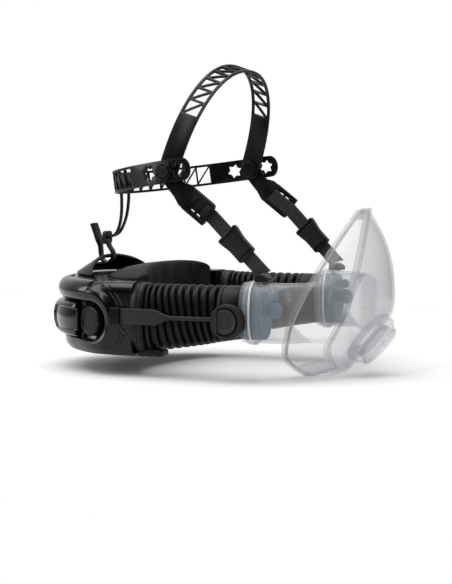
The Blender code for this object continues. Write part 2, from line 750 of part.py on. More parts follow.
def tube(outside, inside):
    """A hollow tube from matching outer and inner rings, both listed from one end to the other."""
    return loft(outside + list(reversed(inside)), path_closed=True, caps=False)


def build_side_hardware():
    thick = KNOB_THICKNESS
    strap_x = UNIT_HALF_WIDTH + GAP
    for name, side in SIDES:
        placing = knob_frame(side)
        outward = placing.to_3x3() @ Z_AXIS
        face = placing @ Vector((0, 0, -KNOB_SINK))
        r, post = KNOB_RADIUS, KNOB_POST_RADIUS
        post_back = KNOB_SINK + KNOB_TRAVEL + GAP - POCKET_FLOOR
        solid("latch_knob_" + name, turned(
            [(0, post_back), (post, post_back), (post, -thick), (r - 0.0008, -thick),
             (r, 0.0008 - thick), (r, -0.0014), (r - 0.0014, 0), (r - 0.0026, 0),
             (r - 0.0030, -0.0006), (0, -0.0006)], face, outward, 22), "soft_black",
            origin=face, smooth=35)

        deep, long, tall = SLIDER
        x_in, x_out = strap_x, strap_x + deep
        y_low, y_high = SLIDER_Y - long / 2, SLIDER_Y + long / 2
        ribs = 4
        outline = [(x_in, y_low), (x_in, y_high)]
        for index in range(ribs):
            start = y_high - long * index / ribs
            pitch = long / ribs
            outline += [(x_out, start), (x_out, start - pitch * 0.55),
                        (x_out - 0.0008, start - pitch * 0.60), (x_out - 0.0008, start - pitch * 0.95)]
        outline[-1] = (x_out, y_low)
        solid("strap_slider_" + name, loft([[Vector((side * x, y, level)) for x, y in outline]
                                            for level in (STRAP_Z - tall / 2, STRAP_Z + tall / 2)]),
              "soft_black")

        clip_y, clip_x = clip_place()
        start_y = y_low - GAP
        end_y = clip_y + CLIP_RADIUS + GAP
        route, widths = [], []
        for share in spread(0, 1, 13):
            y = start_y + (end_y - start_y) * share
            bulge = 0.0012 * math.sin(math.pi * share)
            clear = strap_line(y) + RUN_GAP + bulge + STRAP_THICKNESS / 2
            route.append(Vector((side * clear, y, STRAP_Z)))
            narrow = ease((share - 0.36) / 0.20)
            widths.append(STRAP_HEIGHT + (STRAP_CORD - STRAP_HEIGHT) * narrow)
        solid("side_strap_" + name, strip(route, Z_AXIS, widths, STRAP_THICKNESS), "soft_black")


def strap_line(y):
    """The widest thing beside the strap at y: past the cuff the strap closes on the duct."""
    cuff_end = DUCT_ROOT_Y - CUFF_LENGTH
    share = min(max((cuff_end - y) / 0.03, 0.0), 1.0)
    duct_x = duct_middle(min(y, cuff_end))[0] + DUCT_HALF_WIDTH
    return (UNIT_HALF_WIDTH + CUFF_SWELL) * (1 - share) + duct_x * share


def clip_place():
    """Where the front clip sits: beside the nozzle's neck."""
    y = port_y() + NECK_LENGTH * 0.36
    neck = duct_middle(y + CLIP_RADIUS)[0] + DUCT_HALF_WIDTH
    band = DUCT_X_FRONT + PORT_HALF_WIDTH + GAP + BAND_THICKNESS
    return y, max(neck, band)


# ---- ducts -------------------------------------------------------------------------------------------
def build_ducts():
    cuff_end = DUCT_ROOT_Y - CUFF_LENGTH
    bellows_end = cuff_end - GAP - BELLOWS_LENGTH
    neck_start = bellows_end - GAP
    shoulder = port_y()
    for name, side in SIDES:
        inner = -DUCT_WALL - 0.0010
        cuff_rings = [duct_ring(y, side, grow) for y, grow in
                      ((DUCT_ROOT_Y - GAP, 0.0), (DUCT_ROOT_Y - 0.004, CUFF_SWELL),
                       (cuff_end + 0.003, CUFF_SWELL), (cuff_end, -0.0004))]
        cuff_core = [duct_ring(y, side, inner) for y in (DUCT_ROOT_Y - GAP, cuff_end)]
        cuff = solid("duct_cuff_" + name, tube(cuff_rings, cuff_core), "soft_black", smooth=38)
        x, z, half = duct_middle(cuff_end)
        low = z - half
        heel, toe = cuff_end + 0.008, cuff_end - 0.013
        outline = [(heel, low + 0.0006), (cuff_end + 0.001, low + 0.0006),
                   (cuff_end + 0.001, low - 0.0008), (toe, low - 0.0008), (toe, low - 0.0030),
                   (heel, low - 0.0034)]
        foot = loft([[Vector((side * x + level, y, height)) for y, height in outline]
                     for level in (-0.006, 0.006)])
        combine(cuff, cutter("cuff_foot_" + name, foot), "UNION")

        outside, inside = [], []
        per_rib = 2
        steps = BELLOWS_RIBS * per_rib
        for index in range(steps + 1):
            share = index / steps
            y = cuff_end - GAP - BELLOWS_LENGTH * share
            slant = RIB_SLANT * math.sin(math.pi * share)
            grow = (-RIB_DEPTH, 0.0)[index % per_rib]
            outside.append(duct_ring(y, side, grow, slant=slant))
            if index % (4 * per_rib) == 0 or index == steps:
                inside.append(duct_ring(y, side, -RIB_DEPTH - DUCT_WALL, slant=slant))
        solid("duct_bellows_" + name, tube(outside, inside), "soft_black", smooth=50)

        inner = -DUCT_WALL - MASK_WALL - 2 * GAP
        plug = -MASK_WALL - 2 * GAP
        end = shoulder - PLUG_LENGTH
        neck = [duct_ring(neck_start, side, -0.0006), duct_ring(neck_start - 0.0025, side, 0.0),
                duct_ring(shoulder + 0.002, side, 0.0), duct_ring(shoulder + GAP, side, -0.0006),
                port_ring(shoulder + GAP, side, plug), port_ring(end, side, plug)]
        core = [duct_ring(neck_start, side, inner), port_ring(shoulder, side, inner),
                port_ring(end, side, inner)]
        solid("duct_nozzle_" + name, tube(neck, core), "soft_black", smooth=38)

        x, z = port_centre(end)
        flap_y = end - GAP
        half_x = PORT_HALF_WIDTH - MASK_WALL - 2 * GAP - 0.0004
        half_z = PORT_HALF_HEIGHT - MASK_WALL - 2 * GAP - 0.0004
        hinge = Vector((side * x, flap_y, z + half_z))
        outline = oval(half_x, half_z)
        solid("inlet_flap_" + name,
              loft([[Vector((side * x + across, level, z + up)) for across, up in outline]
                    for level in (flap_y, flap_y - FLAP_THICKNESS)]), "flap_blue",
              origin=hinge, smooth=38)

        build_clip(name, side)


def build_clip(name, side):
    y, x = clip_place()
    inward = x + RUN_GAP
    radius, thick = CLIP_RADIUS, CLIP_THICKNESS
    centre = Vector((side * inward, y, CLIP_Z))
    axis = X_AXIS * side
    floor = thick - PAD_TRAVEL - 0.0016
    clip = solid("clip_body_" + name, turned(
        [(0, 0), (radius - 0.001, 0), (radius, 0.001), (radius, thick - 0.0012),
         (radius - 0.0012, thick), (0, thick)], centre, axis, 22), "soft_black", smooth=35)
    outline = d_outline(PAD_SIZE[0] / 2 + GAP, PAD_SIZE[1] / 2 + GAP)
    recess = loft([[Vector((side * (inward + level), y + across, CLIP_Z + up))
                    for across, up in outline] for level in (floor, thick + 0.004)])
    combine(clip, cutter("clip_recess_" + name, recess))
    outline = d_outline(PAD_SIZE[0] / 2, PAD_SIZE[1] / 2)
    low = floor + PAD_TRAVEL + GAP
    origin = Vector((side * (inward + thick), y, CLIP_Z))
    rings = []
    for level, shrink in ((low, 1.0), (thick - 0.0002, 1.0), (thick + 0.0004, 0.94)):
        rings.append([Vector((side * (inward + level), y + across * shrink, CLIP_Z + up * shrink))
                      for across, up in outline])
    solid("release_pad_" + name, loft(rings), "soft_black", origin=origin, smooth=35)


def d_outline(half_y, half_z):
    """A D shape: round toward the mask, flat toward the unit."""
    points = []
    for angle in spread(-math.pi / 2, math.pi / 2, 13):
        points.append((-half_y * math.cos(angle) * 1.15 + half_y * 0.15, half_z * math.sin(angle)))
    points += [(half_y * 0.85, half_z * 0.72), (half_y, 0.0), (half_y * 0.85, -half_z * 0.72)]
    return points


# ---- mask ---------------------------------------------------------------------------------------------
def port_centre(y):
    """Middle of the mask's side tube at y, on the +X side."""
    x, z, _ = duct_middle(port_y())
    share = (port_y() - TUBE_STRAIGHT - y) / TUBE_BEND
    return x - TUBE_INSET * ease(share), z


def port_ring(y, side, grow=0.0):
    x, z = port_centre(y)
    return [Vector((side * (x + across), y, z + up))
            for across, up in oval(PORT_HALF_WIDTH + grow, PORT_HALF_HEIGHT + grow)]


def mask_share(z):
    return (z - MASK_BOTTOM) / (MASK_TOP - MASK_BOTTOM)


def mask_half_width(z):
    """Half width of the mask's rim: a rounded triangle, widest at the cheeks."""
    share = mask_share(z)
    widest = MASK_HALF_WIDTH
    if share < 0.36:
        return 0.026 + (widest - 0.026) * math.sin(math.pi / 2 * share / 0.36) ** 0.8
    fade = (share - 0.36) / 0.64
    return widest + (0.0105 - widest) * fade ** 1.45


def mask_rim_y(z):
    """Where the rim meets the face: further back at the cheeks than at the nose and chin."""
    share = mask_share(z)
    chin = max(1 - share / 0.14, 0.0)
    return port_y() - RIM_REACH - RIM_SLOPE * share ** 1.15 - CHIN_TUCK * chin ** 1.6


def mask_front_y(z):
    brow = max((z - 0.020) / (MASK_TOP - 0.020), 0.0)
    below = MASK_CHIN_START - z
    chin = (below + math.sqrt(below * below + 0.006 ** 2)) / 2
    return port_y() - MASK_REACH + BROW_FALL * brow ** 2.6 + MASK_CHIN_SLOPE * chin


def mask_section(z, inset, back, count=17):
    half = mask_half_width(z) - inset
    rim = mask_rim_y(z) + back
    reach = rim - (mask_front_y(z) + inset)
    power = 2.35
    ring = []
    for index in range(count):
        angle = math.pi * index / (count - 1)
        c, s = math.cos(angle), math.sin(angle)
        ring.append(Vector((math.copysign(abs(c) ** (2 / power), c) * half,
                            rim - abs(s) ** (2 / power) * reach, z)))
    return ring


def mask_levels(inset):
    low, high = MASK_BOTTOM + inset, MASK_TOP - inset
    return [low + (high - low) * (0.5 - 0.5 * math.cos(math.pi * share)) for share in spread(0, 1, 13)]


def build_mask():
    shell = solid("mask_shell", loft([mask_section(z, 0.0, 0.0) for z in mask_levels(0.0)]),
                  "clear_silicone", smooth=50)
    start = port_y()
    ends = [start] + spread(start - TUBE_STRAIGHT, start - TUBE_STRAIGHT - TUBE_BEND, 6)
    for name, side in SIDES:
        combine(shell, cutter("mask_tube_" + name,
                              loft([port_ring(y, side) for y in ends])), "UNION")
    inside = -MASK_WALL
    combine(shell, cutter("mask_hollow",
                          loft([mask_section(z, MASK_WALL, 0.012) for z in mask_levels(MASK_WALL)])))
    for name, side in SIDES:
        bore = [port_ring(y, side, inside) for y in [start + 0.004] + ends[:-1]]
        combine(shell, cutter("mask_bore_" + name, loft(bore)))
    hole = VALVE_RADIUS + GAP
    combine(shell, cutter("valve_hole", turned([(0, -0.012), (hole, -0.012), (hole, 0.030),
                                                (0, 0.030)], valve_centre(), VALVE_AXIS, 24)))

    rings = []
    levels = mask_levels(0.0)
    path = [(-1, z) for z in levels] + [(1, z) for z in reversed(levels)]
    thin = FACE_SEAL_THICKNESS
    for side, z in path:
        half = mask_half_width(z)
        in_z = min(max(z, MASK_BOTTOM + SEAL_WIDTH * 0.8), MASK_TOP - SEAL_WIDTH * 0.8)
        in_half = max(min(half, mask_half_width(in_z)) - SEAL_WIDTH * 0.8, 0.0015)
        chin_gap = GAP + 0.0014 * max(1 - mask_share(z) / 0.12, 0.0)
        rim, in_rim = mask_rim_y(z) + chin_gap, mask_rim_y(in_z) + chin_gap
        rings.append([Vector((side * half, rim, z)), Vector((side * half, rim + thin, z)),
                      Vector((side * in_half, in_rim + thin, in_z)),
                      Vector((side * in_half, in_rim, in_z))])
    solid("face_seal", loft(rings, path_closed=True), "clear_silicone", smooth=50)

    for name, side in SIDES:
        front = start - BAND_SETBACK
        rows = []
        for y, grow in ((front, GAP), (front, GAP + BAND_THICKNESS),
                        (front - BAND_WIDTH, GAP + BAND_THICKNESS), (front - BAND_WIDTH, GAP)):
            rows.append(port_ring(y, side, grow))
        solid("port_band_" + name, loft(rows, path_closed=True, caps=False), "port_white", smooth=38)

    build_valve()


def valve_centre():
    return Vector((0.0, port_y() - VALVE_REACH, VALVE_Z))


def build_valve():
    radius, bore, length = VALVE_RADIUS, VALVE_BORE, VALVE_LENGTH
    ledge = 0.0020
    solid("valve_seat", turned(
        [(bore, -0.005), (radius, -0.005), (radius, length * 0.5), (radius - 0.0040, length),
         (FLAP_RADIUS + RUN_GAP, length), (FLAP_RADIUS + RUN_GAP, ledge), (bore, ledge)],
        valve_centre(), VALVE_AXIS, 24, ring=True), "clear_silicone", smooth=38)
    low = ledge + GAP
    solid("valve_flap", turned([(0, low), (FLAP_RADIUS, low), (FLAP_RADIUS, low + 0.0008),
                                (0, low + 0.0012)], valve_centre(), VALVE_AXIS, 24),
          "clear_silicone", origin=valve_centre() + VALVE_AXIS * low, smooth=35)
    face = length + GAP
    rim = radius - 0.0040
    cover = solid("valve_cover", turned([(0, face), (rim, face), (rim, face + COVER_DISC * 0.5),
                                         (rim - 0.001, face + COVER_DISC), (0, face + COVER_DISC)],
                                        valve_centre(), VALVE_AXIS, 24), "clear_silicone", smooth=35)
    turn = Z_AXIS.rotation_difference(VALVE_AXIS).to_matrix().to_4x4()
    placing = Matrix.Translation(valve_centre()) @ turn
    vents = bmesh.new()
    for index in range(8):
        low, high = (math.tau * (index + side) / 8 for side in (0.16, 0.84))
        outline = [(r * math.cos(a), r * math.sin(a)) for r, a in
                   [(0.0055, low), (0.0055, high)] + [(FLAP_RADIUS - 0.001, a)
                                                     for a in spread(high, low, 4)]]
        add_loft(vents, [[placing @ Vector((x, y, level)) for x, y in outline]
                         for level in (face - 0.002, face + COVER_DISC + 0.002)])
    combine(cover, cutter("valve_vents", vents))


# ---- harness ------------------------------------------------------------------------------------------
def crown_point(angle, shift=0.0):
    """Middle line of the crown strap: 0 over the left peg, 90 degrees at the crown."""
    c, s = math.cos(angle), math.sin(angle)
    x = math.copysign(abs(c) ** (2 / CROWN_POWER), c) * (CROWN_HALF_SPAN + shift)
    rise = abs(s) ** (2 / CROWN_POWER) * (CROWN_HEIGHT + shift)
    return Vector((x, PEG_Y - CROWN_LEAN * rise, PEG_Z + rise))


def band_point(angle, shift=0.0):
    """Middle line of the rear band: 0 at the back, 90 degrees at the sides."""
    x = (BAND_HALF_SPAN + shift) * math.sin(angle)
    y = BAND_CENTRE_Y + (BAND_REACH + shift) * math.cos(angle)
    z = BAND_BACK_Z + (BAND_CENTRE_Y + BAND_REACH - y) * BAND_SLOPE
    return Vector((x, y, z))


CROWN_ACROSS = Vector((0, 1, CROWN_LEAN)).normalized()
BAND_ACROSS = Vector((0, BAND_SLOPE, 1)).normalized()


def strap_windows(point, across, low, high, cells, half_width):
    """Triangular windows of a lattice, as prisms that pass through the strap."""
    windows = bmesh.new()
    bar = 0.0011
    for index in range(cells):
        start = low + (high - low) * index / cells
        stop = low + (high - low) * (index + 1) / cells
        length = (point(stop, 0.0) - point(start, 0.0)).length
        inset = (stop - start) * bar / length
        a, b = start + inset, stop - inset
        up, down = half_width, -half_width
        slack = (stop - start) * 0.0017 / length
        for corners in (((a, down), (a, up), (b - 2 * slack, up)),
                        ((a + 2 * slack, down), (b, up), (b, down))):
            rings = []
            for shift in (-0.004, 0.004):
                rings.append([point(angle, shift) + across * height for angle, height in corners])
            add_loft(windows, rings)
    return windows


def build_harness():
    layer = STRAP_LAYER
    tip = CROWN_WIDTH / 2
    below = math.asin(min(tip / CROWN_HEIGHT, 1.0)) * 0.9
    angles = spread(0, math.pi, 33)
    points = [crown_point(angle) for angle in angles]
    lead = [Vector((CROWN_HALF_SPAN, PEG_Y + 0.0018, PEG_Z - tip * share)) for share in (0.95, 0.6)]
    tail = [Vector((-p.x, p.y, p.z)) for p in reversed(lead)]
    points = lead + points + tail
    widths = [CROWN_WIDTH] * len(points)
    widths[0] = widths[-1] = CROWN_WIDTH * 0.45
    widths[1] = widths[-2] = CROWN_WIDTH * 0.86
    crown = solid("crown_strap", strip(points, CROWN_ACROSS, widths, layer), "strap_black", smooth=38)
    low = below + math.radians(24)
    combine(crown, cutter("crown_windows", strap_windows(
        crown_point, CROWN_ACROSS, low, math.pi - low, 13, CROWN_WIDTH / 2 - 0.0023)))

    end = math.radians(92.8)
    tip = BAND_HEIGHT / 2
    turn = tip / BAND_REACH
    angles = [-end, -end + turn * 0.12, -end + turn * 0.5, -end + turn]
    angles += spread(-end + turn + math.radians(3), end - turn - math.radians(3), 29)
    angles += [end - turn, end - turn * 0.5, end - turn * 0.12, end]
    widths = [BAND_HEIGHT] * len(angles)
    for index, share in enumerate((0.30, 0.50, 0.86)):
        widths[index] = widths[-1 - index] = BAND_HEIGHT * share
    band = solid("rear_band", strip([band_point(angle) for angle in angles], BAND_ACROSS, widths,
                                    layer), "strap_black", origin=(0, PEG_Y, PEG_Z), smooth=38)
    solid_back = math.radians(6)
    truss_end = math.radians(57)
    for name, side in SIDES:
        combine(band, cutter("band_windows_" + name, strap_windows(
            lambda angle, shift, s=side: band_point(angle * s, shift), BAND_ACROSS,
            solid_back, truss_end, 7, BAND_HEIGHT / 2 - 0.0020)))
        for index, angle in enumerate((math.radians(70), math.radians(86.7))):
            centre = band_point(side * angle)
            outward = (band_point(side * angle, 0.01) - centre).normalized()
            along = BAND_ACROSS.cross(outward).normalized()
            star = []
            for corner in range(12):
                radius = STAR_RADIUS if corner % 2 == 0 else STAR_RADIUS * 0.62
                spin = math.tau * corner / 12 + math.pi / 12
                star.append(centre + along * radius * math.cos(spin)
                            + BAND_ACROSS * radius * math.sin(spin))
            rings = [[p + outward * depth for p in star] for depth in (-0.004, 0.004)]
            combine(band, cutter("star_hole_{}_{}".format(name, index), loft(rings)))

    inner_x = CROWN_HALF_SPAN - layer / 2
    hole = PEG_RADIUS + RUN_GAP
    pin_hole = cutter("peg_holes", turned([(0, -0.12), (hole, -0.12), (hole, 0.12), (0, 0.12)],
                                          (0, PEG_Y, PEG_Z), X_AXIS, 12))
    combine(crown, pin_hole)
    combine(band, pin_hole)
    for name, side in SIDES:
        r, cap = PEG_RADIUS, PEG_CAP_RADIUS
        inside = inner_x - GAP
        outside = band_side_x(PEG_Y - cap) + layer / 2 + 2 * GAP
        solid("pivot_peg_" + name, turned(
            [(0, inside - 0.0015), (cap, inside - 0.0015), (cap, inside), (r, inside), (r, outside),
             (cap, outside), (cap, outside + 0.0010), (cap - 0.0012, outside + 0.0020),
             (0, outside + 0.0020)], (0, PEG_Y, PEG_Z), X_AXIS * side, 12), "strap_black",
            origin=(0, PEG_Y, PEG_Z), smooth=30)
        build_cheek_strap(name, side, pin_hole)


def band_side_x(y):
    """How far out the rear band's middle layer is at y."""
    reach = (y - BAND_CENTRE_Y) / BAND_REACH
    return BAND_HALF_SPAN * math.sqrt(1 - reach * reach)


def buckle_layer():
    """Middle and room of the layer between the crown strap and the rear band."""
    inside = CROWN_HALF_SPAN + STRAP_LAYER / 2 + GAP
    outside = band_side_x(PEG_Y + BUCKLE_EYE_RADIUS + 0.001) - STRAP_LAYER / 2 - GAP
    return (inside + outside) / 2, outside - inside


def buckle_frame(side):
    """Local frame of the ladder buckle: X along the strap, Y across, Z away from the head."""
    start = Vector((side * buckle_layer()[0], PEG_Y - 0.0065, PEG_Z - 0.0105))
    run = Vector((0, -0.80, -0.60)).normalized()
    out = X_AXIS * side
    across = out.cross(run)
    placing = Matrix((run, across, out)).transposed().to_4x4()
    return Matrix.Translation(start) @ placing


def build_cheek_strap(name, side, pin_hole):
    placing = buckle_frame(side)
    to_local = placing.inverted()
    peg = to_local @ Vector((placing.translation.x, PEG_Y, PEG_Z))
    half = BUCKLE_WIDTH / 2
    length = BUCKLE_LENGTH
    arm = BUCKLE_EYE_RADIUS
    thin = buckle_layer()[1]
    rim = []
    toward = Vector((-peg.x, -peg.y)).normalized()
    for angle in spread(math.radians(70), math.radians(290), 8):
        spin = Matrix.Rotation(angle, 2) @ toward
        rim.append((peg.x + spin.x * arm, peg.y + spin.y * arm))
    body_start = arm + 0.0010
    outline = rim + [(body_start - 0.004, -half * 0.72), (body_start + 0.002, -half),
                     (length - 0.002, -half), (length, 0.002 - half), (length, half - 0.002),
                     (length - 0.002, half), (body_start + 0.002, half),
                     (body_start - 0.004, half * 0.72)]
    outline = tidy_outline(outline)
    buckle = solid("ladder_buckle_" + name, prism(outline, placing, -thin / 2, thin / 2),
                   "strap_black", smooth=30)
    tall = BUCKLE_THICKNESS
    clear = body_start + 0.006
    rails = []
    for x, y in ((clear, -1), (length - GAP, -1), (length - GAP, 1), (clear, 1)):
        in_x = x + (0.0026 if x == clear else -0.0026)
        out_y, in_y = y * (half - GAP), y * (half - 0.0030)
        rails.append([placing @ Vector(point) for point in
                      ((x, out_y, 0), (x, out_y, tall), (in_x, in_y, tall * 0.8), (in_x, in_y, 0))])
    rails = loft(rails, path_closed=True)
    combine(buckle, cutter("buckle_rails_" + name, rails), "UNION")
    slot = WEBBING_WIDTH / 2 + GAP
    for index, middle in enumerate((clear + 0.0080, length - 0.0080)):
        combine(buckle, cutter("buckle_slot_{}_{}".format(name, index), box(
            (middle - 0.0016, -slot, -0.006), (middle + 0.0016, slot, 0.006), placing)))
    combine(buckle, pin_hole)

    lie = -thin / 2 - GAP - WEBBING_THICKNESS / 2
    start = placing @ Vector((length * 0.45, 0, lie))
    leave = placing @ Vector((length + 0.001, 0, lie))
    hook_y, hook_z, hook_x = hook_place()
    finish = Vector((side * hook_x, hook_y, hook_z + HOOK[2] + GAP))
    run = (finish - leave).normalized()
    across = run.cross(X_AXIS * side).normalized()
    points = [start, start.lerp(leave, 0.6), leave] + [leave.lerp(finish, s) for s in (0.2, 0.5, 0.8, 1)]
    points[-1] = finish - run * (WEBBING_WIDTH * 0.32)
    solid("cheek_webbing_" + name, strip(points, across, [WEBBING_WIDTH] * len(points),
                                         WEBBING_THICKNESS), "strap_black")

    out = across.cross(run).normalized()
    if out.x * side < 0:
        out = -out
    middle = leave.lerp(finish, 0.50)
    sleeve = Matrix.Translation(middle) @ Matrix((run, across, out)).transposed().to_4x4()
    clear_y = WEBBING_WIDTH / 2 + RUN_GAP
    clear_z = WEBBING_THICKNESS / 2 + RUN_GAP
    rings = []
    for level, grow, reach in ((-0.5, 0, 0), (-0.5, KEEPER_WALL, 0.0014), (-0.30, KEEPER_WALL, 0.0016),
                               (0.5, KEEPER_WALL, 0.0003), (0.5, 0, 0)):
        x = level * KEEPER_LENGTH
        y, z = clear_y + grow + reach, clear_z + grow
        rings.append([sleeve @ Vector((x, sy * y, sz * z)) for sy, sz in
                      ((1, 1), (-1, 1), (-1, -1), (1, -1))])
    solid("strap_keeper_" + name, loft(rings, path_closed=True, caps=False), "strap_black",
          origin=middle)

    wide, long, tall = HOOK
    outline = [(-long / 2, 0), (-long / 2, tall * 0.55), (-long * 0.1, tall), (long * 0.45, tall),
               (long / 2, tall * 0.7), (long / 2, 0)]
    solid("cheek_hook_" + name, loft([[Vector((side * hook_x + level, hook_y + y, hook_z + z))
                                       for y, z in outline] for level in (-wide / 2, wide / 2)]),
          "strap_black")


def tidy_outline(points):
    """Order outline points by angle about their middle, which keeps the outline simple."""
    middle = Vector((sum(x for x, _ in points), sum(y for _, y in points))) / len(points)
    return sorted(points, key=lambda p: math.atan2(p[1] - middle.y, p[0] - middle.x))


def hook_place():
    """Where the cheek hook stands: on the side tube, just in front of the white band."""
    y = port_y() - BAND_SETBACK - BAND_WIDTH - RUN_GAP - HOOK[1] / 2
    x, z = port_centre(y)
    return y, z + PORT_HALF_HEIGHT + RUN_GAP, x


# ---- nape ------------------------------------------------------------------------------------------------
def pad_point(angle):
    y = PAD_CENTRE_Y + PAD_DEPTH * math.cos(angle)
    return Vector((PAD_HALF_WIDTH * math.sin(angle), min(y, 0.0), 0))


def build_nape():
    shelf = UNIT_HALF_HEIGHT + GAP
    rings = []
    for angle in unit_angles(PAD_END):
        fade = math.cos(angle / PAD_END * math.pi / 2)
        apron = 0.001 + APRON * max(fade, 0.0)
        crest = shelf + 0.002 + PAD_RISE * max(fade, 0.0) ** 0.5
        neck = pad_point(angle)
        wall = from_inner(angle, -GAP, 0)
        soft = neck.lerp(wall, 0.25)
        rings.append([neck + Z_AXIS * PAD_BOTTOM, neck + Z_AXIS * (crest - 0.003),
                      soft + Z_AXIS * crest,
                      from_inner(angle, apron * 0.5, crest - (crest - shelf) * 0.35),
                      from_inner(angle, apron, shelf + 0.0012), from_inner(angle, apron, shelf),
                      wall + Z_AXIS * shelf, wall + Z_AXIS * PAD_BOTTOM,
                      soft + Z_AXIS * (PAD_BOTTOM - 0.0015)])
    solid("nape_pad", loft(rings), "soft_black", smooth=50)

    lean = Vector((0, -BRIDGE_LEAN, BRIDGE_RISE))
    rings = []
    for angle in spread(-BRIDGE_END, BRIDGE_END, 29):
        base = Vector((BRIDGE_HALF_WIDTH * math.sin(angle),
                       BRIDGE_CENTRE_Y + BRIDGE_DEPTH * math.cos(angle), shelf))
        height = max(math.cos(angle / BRIDGE_END * math.pi / 2) ** 0.8 if abs(angle) < BRIDGE_END
                     else 0.0, 0.12)
        run = Vector((BRIDGE_HALF_WIDTH * math.cos(angle), -BRIDGE_DEPTH * math.sin(angle), 0))
        thick = run.cross(lean).normalized() * BRIDGE_SHEET
        if thick.z < 0:
            thick = -thick
        crest = base + lean * height
        rings.append([base, crest, crest + thick, base + thick])
    bridge = solid("harness_bridge", loft(rings), "strap_black", smooth=50)
    combine(bridge, cutter("bridge_slot", box(*bridge_slot_box())))
    build_nape_strap()


def bridge_frame():
    """Frame on the bridge's middle: X across, Y down the sheet from its crest, Z out of the sheet."""
    crest = Vector((0, BRIDGE_CENTRE_Y + BRIDGE_DEPTH - BRIDGE_LEAN,
                    UNIT_HALF_HEIGHT + GAP + BRIDGE_RISE))
    down = Vector((0, BRIDGE_LEAN, -BRIDGE_RISE)).normalized()
    out = X_AXIS.cross(down)
    if out.z < 0:
        out = -out
    return Matrix.Translation(crest) @ Matrix((X_AXIS, down, out)).transposed().to_4x4()


def bridge_slot_box():
    half = BRIDGE_SLOT[0] / 2
    low = BRIDGE_CREST_BAR
    return (-half, low, -0.010), (half, low + BRIDGE_SLOT[1], 0.012), bridge_frame()


def build_nape_strap():
    placing = bridge_frame()
    bar = BRIDGE_CREST_BAR
    sheet = BRIDGE_SHEET
    half = NAPE_STRAP_THICKNESS / 2
    back = band_point(0.0)
    out = X_AXIS.cross(BAND_ACROSS) * -1
    hang = back + out * (STRAP_LAYER / 2 + GAP + half) + BAND_ACROSS * (BAND_HEIGHT / 2 - 0.001)
    below = hang - BAND_ACROSS * (BAND_HEIGHT + 0.002)
    local = [placing @ Vector((0, along, out)) for along, out in
             ((-0.0030, 0.0080), (-0.0030, 0.0010), (0.0002, -0.0032), (0.0050, -0.0036),
              (bar + BRIDGE_SLOT[1] * 0.45, sheet * 0.4), (bar + 0.0030, sheet + 0.0038))]
    tail = local[-1]
    route = [hang, hang.lerp(below, 0.5), below, Vector((0, below.y + 0.0016, below.z - 0.016)),
             Vector((0, below.y + 0.0070, below.z - 0.028))]
    route += local
    route += [tail + Vector((0, 0.0008, 0.0075)), tail + Vector((0, 0.0035, 0.0160)),
              tail + Vector((0, 0.0065, 0.0240))]
    points = smooth_route(route, 3)
    widths = [NAPE_STRAP_WIDTH] * len(points)
    strap = solid("nape_strap", strip(points, X_AXIS, widths, NAPE_STRAP_THICKNESS), "strap_black",
                  smooth=60)

    r = 0.0016
    pin = hang - BAND_ACROSS * (BAND_HEIGHT / 2 - 0.001)
    hole = cutter("stud_hole", turned([(0, -0.010), (r + GAP, -0.010), (r + GAP, 0.010), (0, 0.010)],
                                      pin, out, 12))
    combine(strap, hole)
    combine(bpy.data.objects["rear_band"], hole)
    face = half + GAP
    base = -half - STRAP_LAYER - 2 * GAP - 0.0003
    cap = 0.0042
    solid("nape_stud", turned(
        [(0, base - 0.0010), (cap * 0.8, base - 0.0010), (cap * 0.8, base), (r, base), (r, face),
         (cap, face), (cap, face + 0.0008), (cap - 0.0012, face + 0.0018), (0, face + 0.0018)],
        pin, out, 12), "strap_black", smooth=35)


def main():
    clear_scene()
    build_casings()
    build_filter()
    build_blower()
    build_electrics()
    build_side_hardware()
    build_ducts()
    build_mask()
    build_harness()
    build_nape()


main()
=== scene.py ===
# Looks for the powered air respirator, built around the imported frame. Metres, +Z up, the wearer faces -Y.
import json
import math

import bmesh
import bpy
from mathutils import Matrix, Vector


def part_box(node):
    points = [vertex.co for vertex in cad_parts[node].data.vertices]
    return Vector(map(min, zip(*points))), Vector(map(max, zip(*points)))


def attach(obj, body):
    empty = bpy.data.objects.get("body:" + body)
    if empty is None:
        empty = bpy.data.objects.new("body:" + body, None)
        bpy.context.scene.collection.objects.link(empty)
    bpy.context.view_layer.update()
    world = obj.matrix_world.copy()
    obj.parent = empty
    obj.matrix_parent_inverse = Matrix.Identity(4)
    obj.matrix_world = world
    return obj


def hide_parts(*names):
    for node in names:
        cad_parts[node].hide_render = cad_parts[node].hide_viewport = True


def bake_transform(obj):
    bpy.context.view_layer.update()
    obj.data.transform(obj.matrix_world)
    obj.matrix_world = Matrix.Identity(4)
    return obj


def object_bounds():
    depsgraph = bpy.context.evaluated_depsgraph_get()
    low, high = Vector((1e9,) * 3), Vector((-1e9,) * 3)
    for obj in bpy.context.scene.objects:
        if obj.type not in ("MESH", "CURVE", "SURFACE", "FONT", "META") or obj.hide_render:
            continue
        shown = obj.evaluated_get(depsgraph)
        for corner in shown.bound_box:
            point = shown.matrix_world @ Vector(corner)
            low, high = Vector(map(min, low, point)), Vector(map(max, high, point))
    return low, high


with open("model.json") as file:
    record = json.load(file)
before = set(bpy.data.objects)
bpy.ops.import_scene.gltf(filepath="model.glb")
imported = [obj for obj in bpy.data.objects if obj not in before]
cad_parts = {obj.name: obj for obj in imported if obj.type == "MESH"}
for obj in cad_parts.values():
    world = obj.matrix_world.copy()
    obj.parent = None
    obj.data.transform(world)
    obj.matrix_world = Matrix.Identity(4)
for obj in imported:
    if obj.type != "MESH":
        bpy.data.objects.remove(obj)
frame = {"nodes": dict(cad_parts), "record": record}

cadBounds = [list(corner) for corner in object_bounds()]
sides = (("right", -1), ("left", 1))
